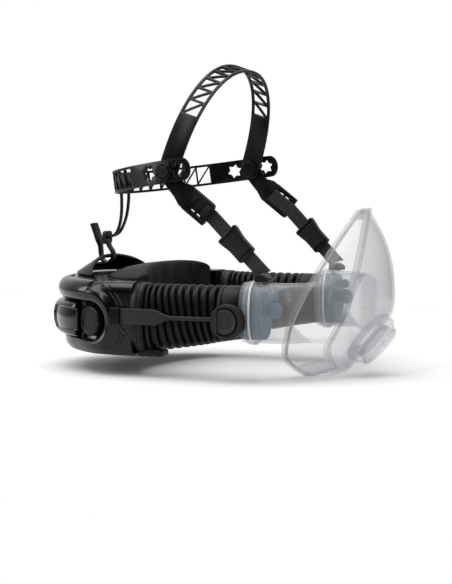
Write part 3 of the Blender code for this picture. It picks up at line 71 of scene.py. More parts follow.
xWay, yWay, zWay = Vector((1, 0, 0)), Vector((0, 1, 0)), Vector((0, 0, 1))
scene = bpy.context.scene
print("frame loaded:", len(frame["nodes"]), "nodes")


# node trees, for shaders and geometry alike
class Wire:
    def __init__(self, graph, socket):
        self.graph, self.socket = graph, socket

    def maths(self, operation, *values):
        return self.graph.add("ShaderNodeMath", {"operation": operation}, list(values))[0]

    def __add__(self, other):
        return self.maths("ADD", self, other)

    def __radd__(self, other):
        return self.maths("ADD", other, self)

    def __sub__(self, other):
        return self.maths("SUBTRACT", self, other)

    def __rsub__(self, other):
        return self.maths("SUBTRACT", other, self)

    def __mul__(self, other):
        return self.maths("MULTIPLY", self, other)

    def __rmul__(self, other):
        return self.maths("MULTIPLY", other, self)

    def __truediv__(self, other):
        return self.maths("DIVIDE", self, other)

    def __pow__(self, other):
        return self.maths("POWER", self, other)

    def sin(self):
        return self.maths("SINE", self)

    def cos(self):
        return self.maths("COSINE", self)

    def size(self):
        return self.maths("ABSOLUTE", self)

    def least(self, other):
        return self.maths("MINIMUM", self, other)

    def most(self, other):
        return self.maths("MAXIMUM", self, other)

    def sign(self):
        return self.maths("SIGN", self)


class Made:
    def __init__(self, graph, node):
        self.graph, self.node = graph, node

    def __getitem__(self, key):
        return Wire(self.graph, self.node.outputs[key])


class Graph:
    def __init__(self, tree):
        self.tree = tree

    def add(self, kind, settings=None, values=None):
        node = self.tree.nodes.new(kind)
        for name, value in (settings or {}).items():
            if name != "stops":
                setattr(node, name, value)
                continue
            ramp = node.color_ramp
            while len(ramp.elements) < len(value):
                ramp.elements.new(0.5)
            for stop, (place, grey) in zip(ramp.elements, value):
                stop.position, stop.color = place, (grey, grey, grey, 1)
        pairs = values.items() if isinstance(values, dict) else enumerate(values or [])
        for key, value in pairs:
            if isinstance(value, Wire):
                self.tree.links.new(value.socket, node.inputs[key])
            elif value is not None:
                node.inputs[key].default_value = value
        return Made(self, node)


class Surface(Graph):
    def __init__(self, name):
        self.material = bpy.data.materials.new(name)
        self.material.use_nodes = True
        super().__init__(self.material.node_tree)
        self.shader = self.tree.nodes["Principled BSDF"]
        self.place = self.add("ShaderNodeTexCoord")["Object"]

    def noise(self, scale, detail=3.0, rough=0.55, where=None, stretch=None):
        where = where or self.place
        if stretch:
            where = self.add("ShaderNodeMapping", None, {"Vector": where, "Scale": stretch})[0]
        return self.add("ShaderNodeTexNoise", None,
                        {"Vector": where, "Scale": scale, "Detail": detail, "Roughness": rough})["Fac"]

    def blend(self, share, low, high):
        return self.add("ShaderNodeMix", {"data_type": "RGBA"}, {0: share, 6: low, 7: high})[2]

    def ramp(self, value, stops):
        return self.add("ShaderNodeValToRGB", {"stops": stops}, [value])[0]

    def bump(self, height, distance, strength=1.0, normal=None):
        values = {"Height": height, "Distance": distance, "Strength": strength}
        if normal:
            values["Normal"] = normal
        return self.add("ShaderNodeBump", None, values)["Normal"]

    def attribute(self, name):
        return self.add("ShaderNodeAttribute", {"attribute_name": name})["Fac"]

    def finish(self, fixed=None, **driven):
        for name, value in (fixed or {}).items():
            self.shader.inputs[name].default_value = value
        for name, value in driven.items():
            socket = {"colour": "Base Color", "roughness": "Roughness", "metallic": "Metallic",
                      "coat": "Coat Weight", "alpha": "Alpha", "normal": "Normal"}[name]
            if isinstance(value, Wire):
                self.tree.links.new(value.socket, self.shader.inputs[socket])
            else:
                self.shader.inputs[socket].default_value = value
        return self.material


# finishes
def shade(value, tint=(1.0, 1.0, 1.0)):
    return tuple(value * part for part in tint) + (1.0,)


def mouldedPlastic(name, look):
    # a fine spark-eroded grain, soft flow marks and lighter, duller edges; the lighter edge colour is wear,
    # and on the soft black also a painted highlight
    s = Surface(name)
    grain = s.noise(look["grain"], 2.0, 0.6)
    flow = s.noise(look["flow"], 4.0, 0.5)
    dust = s.ramp(s.noise(260, 5.0, 0.7), [(0.56, 0.0), (0.78, 1.0)])
    edge = s.attribute("edge")
    colour = s.blend(flow, look["dark"], look["light"])
    # convex edges and lightened places take the worn colour: wear, and painted highlight where that colour is
    # raised for it
    colour = s.blend((edge * look["wear"]).least(1.0), colour, look["worn"])
    rough = look["rough"] + (flow - 0.5) * look["roughSpread"] + dust * 0.06 + edge * 0.08
    bump = s.bump(grain, look["grainDepth"], 0.6)
    bump = s.bump(flow, look["flowDepth"], 0.35, bump)
    return s.finish({"Specular IOR Level": look["specular"], "Coat Roughness": look["coatRough"],
                     "Coat Weight": look["coat"]}, colour=colour, roughness=rough, normal=bump)


def clearSilicone(name, look):
    # a see-through wall with a faint haze and flow ripple, painted grey where it is seen edge on: painted
    # shade for the darker refracted edges
    s = Surface(name)
    haze = s.noise(look["hazeScale"], 3.0, 0.5, stretch=look["hazeStretch"])
    facing = s.add("ShaderNodeLayerWeight", None, {"Blend": look["edgeBlend"]})["Facing"]
    body = look["body"] + (haze - 0.5) * look["hazeSpread"] + facing ** look["edgePower"] * look["edge"]
    ripple = s.bump(s.noise(look["rippleScale"], 2.0, 0.4), look["rippleDepth"], 0.5)
    # glancing faces blend to the darker rim colour, a painted shade along the edges
    colour = s.blend((facing ** 1.5).least(1.0), s.blend(haze, look["dark"], look["light"]), look["rim"])
    material = s.finish({"Specular IOR Level": look["specular"], "IOR": 1.41, "Coat Weight": look["coat"],
                         "Coat Roughness": 0.04},
                        colour=colour, roughness=look["rough"] + haze * 0.06, normal=ripple)
    clear = s.add("ShaderNodeBsdfTransparent", None, {"Color": look["tint"]})
    mixed = s.add("ShaderNodeMixShader", None, [body.most(0.0).least(1.0), clear[0]])
    s.tree.links.new(s.shader.outputs[0], mixed.node.inputs[2])
    s.tree.links.new(mixed.node.outputs[0], s.tree.nodes["Material Output"].inputs["Surface"])
    return material


def wovenWebbing(name, look):
    # a plain weave that follows the strap's own length and width
    s = Surface(name)
    uv = s.add("ShaderNodeUVMap", {"uv_map": "strap"})[0]
    split = s.add("ShaderNodeSeparateXYZ", None, [uv])
    along, across = split["X"] * (math.tau / look["pick"]), split["Y"] * (math.tau / look["end"])
    weave = along.sin() * across.sin()
    ends = across.cos().size()
    fuzz = s.noise(2600, 3.0, 0.7)
    colour = s.blend((weave * 0.5 + 0.5), look["dark"], look["light"])
    bump = s.bump(weave * 0.5 + ends * 0.5, look["depth"], 0.9)
    bump = s.bump(fuzz, 0.00008, 0.5, bump)
    return s.finish({"Sheen Weight": 0.25, "Sheen Roughness": 0.5, "Specular IOR Level": 0.35},
                    colour=colour, roughness=0.55 + fuzz * 0.2, normal=bump)


def brushedMetal(name, look):
    s = Surface(name)
    lines = s.noise(900, 2.0, 0.6, stretch=look["stretch"])
    stain = s.noise(60, 3.0)
    return s.finish({"Metallic": 1.0}, colour=s.blend(stain, look["dark"], look["light"]),
                    roughness=look["rough"] + (lines - 0.5) * 0.22, normal=s.bump(lines, 0.00004, 0.5))


def paper(name, look):
    s = Surface(name)
    fibre = s.noise(1800, 5.0, 0.75)
    cloud = s.noise(90, 3.0)
    return s.finish({"Sheen Weight": 0.15, "Specular IOR Level": 0.2},
                    colour=s.blend(cloud, look["dark"], look["light"]), roughness=0.82 + fibre * 0.12,
                    normal=s.bump(fibre, 0.00012, 0.8))


def circuitBoard(name):
    s = Surface(name)
    cells = s.add("ShaderNodeTexBrick", {"offset": 0.5},
                  {"Vector": s.place, "Scale": 420.0, "Mortar Size": 0.03,
                   "Color1": shade(0.10, (0.2, 1, 0.45)), "Color2": shade(0.075, (0.2, 1, 0.45)),
                   "Mortar": shade(0.30, (0.6, 1, 0.6))})
    gloss = s.noise(300, 3.0)
    return s.finish({"Coat Weight": 0.4, "Coat Roughness": 0.1}, colour=cells["Color"],
                    roughness=0.32 + gloss * 0.2, normal=s.bump(cells["Fac"], 0.00005, 0.6))


def shrinkWrap(name, look):
    s = Surface(name)
    crease = s.noise(140, 4.0, 0.6, stretch=(1, 3, 1))
    return s.finish({"Coat Weight": 0.5, "Coat Roughness": 0.08},
                    colour=s.blend(crease, look["dark"], look["light"]), roughness=0.30 + crease * 0.18,
                    normal=s.bump(crease, 0.0001, 0.5))


plastic = {"grain": 2200, "grainDepth": 0.00002, "flow": 45, "flowDepth": 0.00008, "wear": 0.5,
           "dark": shade(0.0010, (1.0, 0.92, 1.4)), "light": shade(0.0020, (1.0, 0.94, 1.35)),
           "worn": shade(0.014, (1.0, 0.98, 1.15)), "rough": 0.20, "roughSpread": 0.08,
           "specular": 0.24, "coat": 0.16, "coatRough": 0.07}
finishes = {
    "housing_black": mouldedPlastic("housingBlack", plastic),
    "cover_gloss": mouldedPlastic("coverGloss", {
        **plastic, "dark": shade(0.0015), "light": shade(0.0028), "rough": 0.13, "roughSpread": 0.05,
        "grainDepth": 0.000006, "coat": 0.25, "coatRough": 0.05}),
    # the soft black's worn colour is raised so its crests carry painted highlights, as on the bellows ribs,
    # and so the lightened straps, clip rims and pads read lighter
    "soft_black": mouldedPlastic("softBlack", {
        **plastic, "dark": shade(0.0016, (1, 0.95, 1.3)), "light": shade(0.0032, (1, 0.96, 1.25)),
        "rough": 0.36, "roughSpread": 0.14, "grain": 1500, "grainDepth": 0.00004, "coat": 0.0,
        "coatRough": 0.3, "specular": 0.17, "wear": 0.7, "worn": shade(0.03, (1, 0.98, 1.12))}),
    "pad_black": mouldedPlastic("padBlack", {
        **plastic, "dark": shade(0.0022), "light": shade(0.0045), "rough": 0.55, "grain": 900,
        "grainDepth": 0.00010, "coat": 0.0, "coatRough": 0.25, "specular": 0.22, "wear": 0.3}),
    "strap_black": mouldedPlastic("strapBlack", {
        **plastic, "dark": shade(0.0016, (1, 0.93, 1.35)), "light": shade(0.0034, (1, 0.93, 1.3)),
        "rough": 0.34, "grain": 1900, "grainDepth": 0.00003, "coat": 0.0, "coatRough": 0.25,
        "specular": 0.22, "wear": 0.8, "worn": shade(0.025, (1, 0.97, 1.12))}),
    "webbing_black": wovenWebbing("webbingBlack", {
        "pick": 0.0016, "end": 0.0022, "depth": 0.00022, "dark": shade(0.0014), "light": shade(0.006)}),
    "clear_silicone": clearSilicone("clearSilicone", {
        "hazeScale": 22, "hazeStretch": (1, 0.6, 1.4), "hazeSpread": 0.05, "edgeBlend": 0.30,
        "edgePower": 1.8, "body": 0.13, "edge": 0.70, "rippleScale": 60, "rippleDepth": 0.0004,
        "coat": 0.5, "specular": 0.5, "dark": shade(0.44, (0.98, 1.0, 1.04)), "light": shade(0.56),
        "rim": shade(0.30, (0.97, 0.99, 1.10)), "rough": 0.10, "tint": (0.972, 0.974, 0.978, 1)}),
    "port_white": clearSilicone("portWhite", {
        "hazeScale": 40, "hazeStretch": (1, 1, 1), "hazeSpread": 0.06, "edgeBlend": 0.4,
        "edgePower": 2.0, "body": 0.55, "edge": 0.30, "rippleScale": 90, "rippleDepth": 0.0002,
        "coat": 0.3, "specular": 0.4, "dark": shade(0.80, (0.98, 0.99, 1.02)), "light": shade(0.88),
        "rim": shade(0.70), "rough": 0.20, "tint": (0.97, 0.975, 0.985, 1)}),
    "flap_blue": mouldedPlastic("flapBlue", {
        **plastic, "dark": shade(0.15, (0.50, 0.86, 1.25)), "light": shade(0.21, (0.52, 0.88, 1.22)),
        "worn": shade(0.34, (0.7, 0.95, 1.15)), "rough": 0.34, "coat": 0.1}),
    "filter_white": paper("filterWhite", {"dark": shade(0.70, (1, 1, 0.97)), "light": shade(0.86)}),
    "frame_grey": mouldedPlastic("frameGrey", {
        **plastic, "dark": shade(0.14), "light": shade(0.18, (0.98, 1, 1.05)), "rough": 0.45,
        "worn": shade(0.28), "coat": 0.05}),
    "cell_blue": shrinkWrap("cellBlue", {"dark": shade(0.20, (0.18, 0.6, 1.3)),
                                         "light": shade(0.28, (0.2, 0.65, 1.3))}),
    "board_green": circuitBoard("boardGreen"),
    "steel": brushedMetal("steel", {"stretch": (1, 1, 12), "rough": 0.27, "dark": shade(0.46),
                                    "light": shade(0.66, (1, 0.99, 0.98))}),
    "window_smoke": mouldedPlastic("windowSmoke", {
        **plastic, "dark": shade(0.05, (0.4, 1.6, 0.7)), "light": shade(0.08, (0.4, 1.6, 0.7)),
        "rough": 0.10, "coat": 1.0, "coatRough": 0.03, "grainDepth": 0.000004}),
}
slotOf = {row["node"]: row["material_slot"] for row in frame["record"]["subparts"]}
for name, node in frame["nodes"].items():
    node.data.materials.clear()
    node.data.materials.append(finishes[slotOf[name]])
print("finishes made:", len(finishes))


# geometry trees
def startTree(name, inputs):
    # a tree with named inputs of (kind, default) and the identifiers of their sockets
    tree = bpy.data.node_groups.new(name, "GeometryNodeTree")
    tree.interface.new_socket("Geometry", in_out="INPUT", socket_type="NodeSocketGeometry")
    ids = {}
    for label, (kind, value) in inputs.items():
        socket = tree.interface.new_socket(label, in_out="INPUT", socket_type="NodeSocket" + kind)
        if value is not None:
            socket.default_value = value
        ids[label] = socket.identifier
    tree.interface.new_socket("Geometry", in_out="OUTPUT", socket_type="NodeSocketGeometry")
    g = Graph(tree)
    return g, g.add("NodeGroupInput"), ids


def endTree(g, geometry, material):
    real = g.add("GeometryNodeRealizeInstances", None, {"Geometry": geometry})
    made = g.add("GeometryNodeSetMaterial", None, {"Geometry": real["Geometry"], "Material": material})
    g.add("NodeGroupOutput", None, {"Geometry": made["Geometry"]})
    return g.tree


def grown(thing, name, tree, ids, values):
    # the object with a tree's result worked in
    change = thing.modifiers.new(name, "NODES")
    change.node_group = tree
    for key, value in values.items():
        change[ids[key]] = value
    bpy.context.view_layer.update()
    return plain(thing)


# mesh helpers
def spread(low, high, count):
    return [low + (high - low) * index / (count - 1) for index in range(count)]


def ease(value):
    value = min(max(value, 0.0), 1.0)
    return value * value * (3 - 2 * value)


def skin(bm, rings, ringClosed=True, pathClosed=False, caps=True, uvs=None):
    # faces between rings of points; uvs are one (along, across) pair for each point
    rows = [[bm.verts.new(point) for point in ring] for ring in rings]
    layer = bm.loops.layers.uv.get("strap") or bm.loops.layers.uv.new("strap")
    count = len(rows[0])
    for number in range(len(rows) if pathClosed else len(rows) - 1):
        here, there = rows[number], rows[(number + 1) % len(rows)]
        for index in range(count if ringClosed else count - 1):
            after = (index + 1) % count
            face = bm.faces.new((here[index], here[after], there[after], there[index]))
            if uvs:
                marks = ((number, index), (number, index + 1), (number + 1, index + 1), (number + 1, index))
                for loop, (row, column) in zip(face.loops, marks):
                    loop[layer].uv = (uvs[0][row], uvs[1][column])
    if caps and not pathClosed:
        bm.faces.new(rows[0])
        bm.faces.new(list(reversed(rows[-1])))
    return bm


def turn(profile, centre, axis, segments=64, ring=False, bm=None):
    # a turned piece from (radius, along) points; a point on the axis is one shared vertex
    bm = bm or bmesh.new()
    place = Matrix.Translation(Vector(centre)) @ zWay.rotation_difference(Vector(axis)).to_matrix().to_4x4()
    rows = []
    for radius, along in profile:
        turns = [math.tau * k / segments for k in range(segments)] if radius > 1e-9 else [0.0]
        rows.append([bm.verts.new(place @ Vector((radius * math.cos(a), radius * math.sin(a), along)))
                     for a in turns])
    for here, there in zip(rows, rows[1:] + rows[:1] if ring else rows[1:]):
        for k in range(segments):
            corners = [row[index % len(row)] for row, index in
                       ((here, k), (here, k + 1), (there, k + 1), (there, k))]
            corners = list(dict.fromkeys(corners))
            if len(corners) > 2:
                bm.faces.new(corners)
    return bm


def rounded(points, radius, steps=4, closed=False):
    # the corners of a flat profile, rounded by up to radius
    out = []
    last = len(points) - 1
    for index, point in enumerate(points):
        here = Vector(point)
        if not closed and index in (0, last):
            out.append(tuple(here))
            continue
        before, after = Vector(points[index - 1]), Vector(points[(index + 1) % len(points)])
        back, on = before - here, after - here
        reach = min(radius, back.length * 0.45, on.length * 0.45)
        start, stop = here + back.normalized() * reach, here + on.normalized() * reach
        for share in spread(0, 1, steps):
            out.append(tuple(start.lerp(here, share).lerp(here.lerp(stop, share), share)))
    return out


def markEdges(thing, angle=18):
    # how convex each corner is, for the worn edges of a finish, which on the soft black also stand as painted
    # highlights on crests such as the bellows ribs
    mesh = thing.data
    bm = bmesh.new()
    bm.from_mesh(mesh)
    marks = mesh.attributes.get("edge") or mesh.attributes.new("edge", "FLOAT", "POINT")
    low = math.radians(angle)
    for v in bm.verts:
        bends = [e.calc_face_angle_signed(0.0) for e in v.link_edges if len(e.link_faces) == 2]
        most = max(bends, default=0.0)
        marks.data[v.index].value = min(max(most - low, 0.0) / math.radians(50), 1.0)
    bm.free()


def lift(thing, least, beyond=0.0):
    # everything farther out than a level, painted lighter through the worn-edge colour: a painted highlight
    # on the clips' outer rims, and a lighter tone all over the side straps and press pads
    for v, mark in zip(thing.data.vertices, thing.data.attributes["edge"].data):
        if abs(v.co.x) > beyond:
            mark.value = max(mark.value, least)


def plain(thing):
    # the object with its modifiers worked in, at the origin
    graph = bpy.context.evaluated_depsgraph_get()
    mesh = bpy.data.meshes.new_from_object(thing.evaluated_get(graph), depsgraph=graph)
    thing.modifiers.clear()
    old, thing.data = thing.data, mesh
    bpy.data.meshes.remove(old)
    return thing


def newPiece(name, bm, slotName, smooth=40, weld=True):
    if weld:
        bmesh.ops.remove_doubles(bm, verts=bm.verts, dist=1e-7)
    bmesh.ops.recalc_face_normals(bm, faces=bm.faces)
    mesh = bpy.data.meshes.new(name)
    bm.to_mesh(mesh)
    bm.free()
    mesh.materials.append(finishes[slotName])
    thing = bpy.data.objects.new(name, mesh)
    scene.collection.objects.link(thing)
    mesh.shade_smooth()
    if smooth < 180:
        mesh.set_sharp_from_angle(angle=math.radians(smooth))
    thing["slotName"] = slotName
    return thing


def softenEdges(thing, width, segments=3, angle=28):
    change = thing.modifiers.new("edges", "BEVEL")
    change.width, change.segments, change.angle_limit = width, segments, math.radians(angle)
    change.limit_method, change.harden_normals = "ANGLE", False
    bpy.context.view_layer.update()
    return plain(thing)


def settle(thing, body, *nodes, smooth=None):
    if smooth is not None:
        thing.data.shade_smooth()
        thing.data.set_sharp_from_angle(angle=math.radians(smooth))
    markEdges(thing)
    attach(thing, body)
    if nodes:
        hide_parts(*nodes)
    return thing


def cutWith(thing, bm, operation="DIFFERENCE"):
    tool = newPiece("tool", bm, "steel")
    change = thing.modifiers.new("cut", "BOOLEAN")
    change.operation, change.object, change.solver = operation, tool, "EXACT"
    bpy.context.view_layer.update()
    plain(thing)
    bpy.data.objects.remove(tool)
    return thing


def ovalPoints(halfX, halfY, count, power):
    points = []
    for index in range(count):
        c, s = math.cos(math.tau * index / count), math.sin(math.tau * index / count)
        points.append((math.copysign(abs(c) ** (2 / power), c) * halfX,
                       math.copysign(abs(s) ** (2 / power), s) * halfY))
    return points


# power unit: a horseshoe round the back of the neck
caseLow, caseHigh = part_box("outer_casing")
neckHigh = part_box("inner_casing")[1]
unit = {"halfWidth": caseHigh.x, "centreY": 0.005, "halfHeight": caseHigh.z, "neckHalfWidth": 0.062,
        "neckDepth": 0.026, "neckCentreY": -0.010, "endY": caseLow.y, "endAngle": math.radians(98),
        "wall": 0.0022, "gap": 0.0003}
unit["depth"] = caseHigh.y - unit["centreY"]
groove = {"middle": -0.0025, "radius": 0.0145, "floor": 0.0088, "pocket": 0.0130, "tail": 0.020,
          "roll": 0.0075, "rollDepth": 0.0052, "knobAngle": math.radians(73.5), "lobeInset": 0.0050,
          "lobeFade": (math.radians(55), math.radians(88)), "cornerRound": 0.0085, "seamAt": 0.0100,
          "seamStep": 0.00038, "shelf": 0.0030, "shelfAt": 0.0075, "stations": 420, "rows": 84}


def horseshoe(angle, halfWidth, reach, centreY):
    turned = max(-math.pi / 2, min(math.pi / 2, angle))
    x, y = halfWidth * math.sin(turned), centreY + reach * math.cos(turned)
    beyond = (abs(angle) - math.pi / 2) / (unit["endAngle"] - math.pi / 2)
    if beyond > 0:
        y += (unit["endY"] - centreY) * beyond
    return Vector((x, y, 0)), Vector((math.sin(turned) / halfWidth, math.cos(turned) / reach, 0)).normalized()


def fromOuter(angle, depth, height):
    point, normal = horseshoe(angle, unit["halfWidth"], unit["depth"], unit["centreY"])
    return point - normal * depth + zWay * height


def fromInner(angle, depth, height):
    point, normal = horseshoe(angle, unit["neckHalfWidth"], unit["neckDepth"], unit["neckCentreY"])
    return point + normal * depth + zWay * height


def wallLength():
    # arc length along the outer wall from the back, for each half degree
    table = [0.0]
    last = fromOuter(0, 0, 0)
    for step in range(1, 2 * int(math.degrees(unit["endAngle"])) + 1):
        point = fromOuter(math.radians(step / 2), 0, 0)
        table.append(table[-1] + (point - last).length)
        last = point
    return table


wallTable = wallLength()


def lengthAt(angle):
    place = min(abs(math.degrees(angle)) * 2, len(wallTable) - 1.001)
    low = int(place)
    return wallTable[low] + (wallTable[low + 1] - wallTable[low]) * (place - low)


def wallDepth(angle, height):
    # how far the outer face lies behind the plain horseshoe: rolled corners, lower lobe and side groove
    half, corner = unit["halfHeight"], groove["cornerRound"]
    fade = (abs(angle) - groove["lobeFade"][0]) / (groove["lobeFade"][1] - groove["lobeFade"][0])
    lobe = groove["lobeInset"] * (1 - ease(fade)) * ease((groove["middle"] - height) / 0.010)
    past = (abs(height) - (half - corner)) / corner
    edge = corner * (1 - math.sqrt(max(1 - past * past, 0.0))) if past > 0 else 0.0
    ahead = lengthAt(angle) - lengthAt(groove["knobAngle"])
    off = height - groove["middle"]
    reach = math.hypot(max(ahead, 0.0), off)
    pocket = ease((ahead + groove["tail"]) / 0.004)
    floor = groove["floor"] + (groove["pocket"] - groove["floor"]) * pocket
    share = (groove["radius"] + groove["roll"] - reach) / groove["roll"]
    if share <= 0:
        dip = 0.0
    elif share < 1:
        dip = groove["rollDepth"] * (1 - math.sqrt(1 - share * share))
    else:
        dip = groove["rollDepth"] + (floor - groove["rollDepth"]) * ease((groove["radius"] - reach) / 0.0016)
    step = 0.0
    if ahead > 0:
        # ahead of the groove's bead the wall drops to a lower shelf, with two fine seams along it
        past = reach - groove["radius"] - groove["shelfAt"]
        step = groove["shelf"] * ease(past / 0.0065)
        for seam in (0.0075, 0.0105):
            step += groove["seamStep"] * math.exp(-((past - seam) / 0.0004) ** 2)
    return max(lobe, dip) + edge + step


def makeOuterCasing():
    half, end = unit["halfHeight"], unit["endAngle"]
    ledge = unit["wall"] + 2 * unit["gap"]
    heights = []
    for share in spread(0, 1, groove["rows"]):
        heights.append(half - 2 * half * (share + 0.045 * math.sin(math.tau * share * 2) / math.tau * 2))
    rings = []
    for angle in spread(-end, end, groove["stations"]):
        outer = [fromOuter(angle, wallDepth(angle, height), height) for height in heights]
        top = [fromInner(angle, ledge, half).lerp(outer[0], share) for share in (0.0, 0.5, 0.92)]
        foot = [outer[-1].lerp(fromInner(angle, ledge, -half), share) for share in (0.08, 0.5, 1.0)]
        skinIn = [fromInner(angle, ledge, -half + unit["wall"])]
        for height in (-half + unit["wall"], -half * 0.6, -0.004, 0.004, half * 0.6, half - unit["wall"]):
            deep = max(wallDepth(angle, height), groove["cornerRound"] * 0.4) + unit["wall"]
            skinIn.append(fromOuter(angle, deep, height))
        skinIn.append(fromInner(angle, ledge, half - unit["wall"]))
        rings.append(top + outer + foot + skinIn)
    casing = newPiece("outerCasing", skin(bmesh.new(), rings), "housing_black")
    for low, high, place, size in casingOpenings():
        cutWith(casing, opening(low, high, place, size))
    for name, side in sides:
        cutWith(casing, ventSlot(side))
    return settle(casing, "unit", "outer_casing", smooth=34)


def casingOpenings():
    half = unit["halfHeight"]
    filterLow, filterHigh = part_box("filter_frame")
    clear = unit["gap"] + 0.0002
    rows = [(filterLow.z - clear, filterHigh.z + clear,
             Vector((0, filterHigh.y, (filterLow.z + filterHigh.z) / 2)),
             (filterHigh.x + clear, 0.014))]
    for node, up in (("power_button", 1), ("charge_socket", -1)):
        low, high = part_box(node)
        middle = (low + high) / 2
        radius = (high.x - low.x) / 2 - (0.0015 if node == "power_button" else 0.0012) + clear
        rows.append((half - 0.006 if up > 0 else -half - 0.004, half + 0.004 if up > 0 else -half + 0.006,
                     Vector((middle.x, middle.y, 0)), radius))
    return rows


def opening(low, high, place, size):
    if isinstance(size, tuple):
        bm = bmesh.new()
        middle = Vector((place.x, place.y, (low + high) / 2))
        bmesh.ops.create_cube(bm, matrix=Matrix.Translation(middle) @ Matrix.Diagonal(
            (2 * size[0], 2 * size[1], high - low, 1)))
        return bm
    return turn([(0, low), (size, low), (size, high), (0, high)], (place.x, place.y, 0), zWay, 40)


def ventSlot(side):
    # the slit in the top near the cuff
    angle = math.radians(84) * side
    middle = fromOuter(angle, 0.0135, unit["halfHeight"])
    way = fromOuter(angle + math.radians(2) * side, 0.0135, 0) - fromOuter(angle, 0.0135, 0)
    place = Matrix.Translation(middle) @ Matrix.Rotation(math.atan2(way.y, way.x), 4, "Z")
    bm = bmesh.new()
    bmesh.ops.create_cube(bm, matrix=place @ Matrix.Diagonal((0.015, 0.0013, 0.002, 1)))
    return bm


def makeInnerCasing():
    half, wall, lip = unit["halfHeight"], unit["wall"], 0.0018
    shelf = half - wall - unit["gap"]
    reach = wall + 0.0055
    section = rounded([(0, -half), (0, half), (wall, half), (wall, shelf), (reach, shelf),
                       (reach, shelf - lip), (wall, shelf - lip), (wall, lip - shelf), (reach, lip - shelf),
                       (reach, -shelf), (wall, -shelf), (wall, -half)], 0.0005, 3, closed=True)
    rings = [[fromInner(angle, depth, height) for depth, height in section]
             for angle in spread(-unit["endAngle"], unit["endAngle"], 121)]
    return settle(newPiece("innerCasing", skin(bmesh.new(), rings), "housing_black"), "unit",
                  "inner_casing")


# filter cover: a gloss nose with a sunk belt on each flank
cover = {"end": math.radians(61), "bulge": 0.0058, "sink": 0.002, "top": 0.0112, "bottom": -0.0162,
         "wall": 0.0018, "foot": 0.0082, "beltFrom": math.radians(27),
         "beltHalf": 0.0088, "beltDepth": 0.0022}


def coverDepth(angle, height):
    swell = max(math.cos(angle / cover["end"] * math.pi / 2), 0.0) ** 0.7
    middle, half = (cover["top"] + cover["bottom"]) / 2, (cover["top"] - cover["bottom"]) / 2
    off = abs(height - middle) / half
    brow = cover["bulge"] * swell * (1 - off ** 2.4)
    edge = 0.0042 * (1 - math.sqrt(max(1 - max((off - 0.70) / 0.30, 0.0) ** 2, 0.0)))
    along = lengthAt(angle) - lengthAt(cover["beltFrom"])
    rim = max(abs(height - middle) - cover["beltHalf"] + 0.003, 0.0)
    ahead = max(0.005 - along, 0.0)
    inBelt = 1 - ease((math.hypot(rim, ahead * 0.7) - 0.0022) / 0.0014)
    return cover["sink"] * (1 - swell) - brow + edge + cover["beltDepth"] * inBelt


def makeFilterCover():
    rings = []
    top, bottom, wall, foot = cover["top"], cover["bottom"], cover["wall"], cover["foot"]
    inRows = (bottom + wall, (top + bottom) / 2, top - wall)
    for angle in spread(-cover["end"], cover["end"], 200):
        ring = [fromOuter(angle, foot, top)]
        for height in spread(top, bottom, 46):
            ring.append(fromOuter(angle, coverDepth(angle, height), height))
        ring.append(fromOuter(angle, foot, bottom))
        ring.append(fromOuter(angle, foot, bottom + wall))
        for height in inRows:
            deep = max(coverDepth(angle, height) + wall, cover["sink"] * 0.6 - cover["bulge"] * 0.5)
            ring.append(fromOuter(angle, min(deep, foot - 0.0005), height))
        ring.append(fromOuter(angle, foot, top - wall))
        rings.append(ring)
    return settle(newPiece("filterCover", skin(bmesh.new(), rings), "cover_gloss"), "filter_cover",
                  "filter_cover", smooth=42)


# press knobs with a stippled face
knob = {"radius": 0.0114, "sink": 0.0025, "thick": 0.0055, "post": 0.004, "rim": 0.0021, "dish": 0.0010,
        "turnBack": math.radians(8), "dots": 0.0011, "dotRadius": 0.00042, "seed": 7}


def knobFrame(side):
    angle = groove["knobAngle"] * side
    outward = (fromOuter(angle, -1.0, 0) - fromOuter(angle, 0, 0)).normalized()
    outward = Matrix.Rotation(knob["turnBack"] * side, 3, "Z") @ outward
    forward = zWay.cross(outward) * -side
    return (Matrix.Translation(fromOuter(angle, 0, groove["middle"]))
            @ Matrix((forward, zWay, outward)).transposed().to_4x4())


def stippleTree():
    # small domes scattered over a face, kept a set distance apart
    g, given, ids = startTree("stipple", {"Spacing": ("Float", 0.001), "Radius": ("Float", 0.0004),
                                          "Seed": ("Int", 1), "Material": ("Material", None)})
    points = g.add("GeometryNodeDistributePointsOnFaces", {"distribute_method": "POISSON"},
                   {"Mesh": given["Geometry"], "Distance Min": given["Spacing"], "Density Max": 2.0e6,
                    "Seed": given["Seed"]})
    dome = g.add("GeometryNodeMeshUVSphere", None, {"Segments": 8, "Rings": 4, "Radius": given["Radius"]})
    flat = g.add("GeometryNodeTransform", None, {"Geometry": dome["Mesh"], "Scale": (1, 1, 0.55)})
    size = g.add("FunctionNodeRandomValue", {"data_type": "FLOAT"},
                 {2: 0.6, 3: 1.05, "Seed": given["Seed"]})[1]
    placed = g.add("GeometryNodeInstanceOnPoints", None,
                   {"Points": points["Points"], "Instance": flat["Geometry"],
                    "Rotation": points["Rotation"], "Scale": size})
    return endTree(g, placed["Instances"], given["Material"]), ids


stipple, stippleSockets = stippleTree()


def stippleOver(name, patch, body, slotName, spacing, radius, seed):
    # patch is a bmesh of the faces to cover
    base = newPiece(name, patch, slotName)
    grown(base, "stipple", stipple, stippleSockets,
          {"Spacing": spacing, "Radius": radius, "Seed": seed, "Material": finishes[slotName]})
    base.data.shade_smooth()
    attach(base, body)
    return base


def discPatch(radius, placing, height):
    bm = bmesh.new()
    rings = [[placing @ Vector((r * math.cos(a), r * math.sin(a), height))
              for a in [math.tau * k / 40 for k in range(40)]] for r in spread(radius, radius * 0.05, 8)]
    skin(bm, rings, caps=False)
    return bm


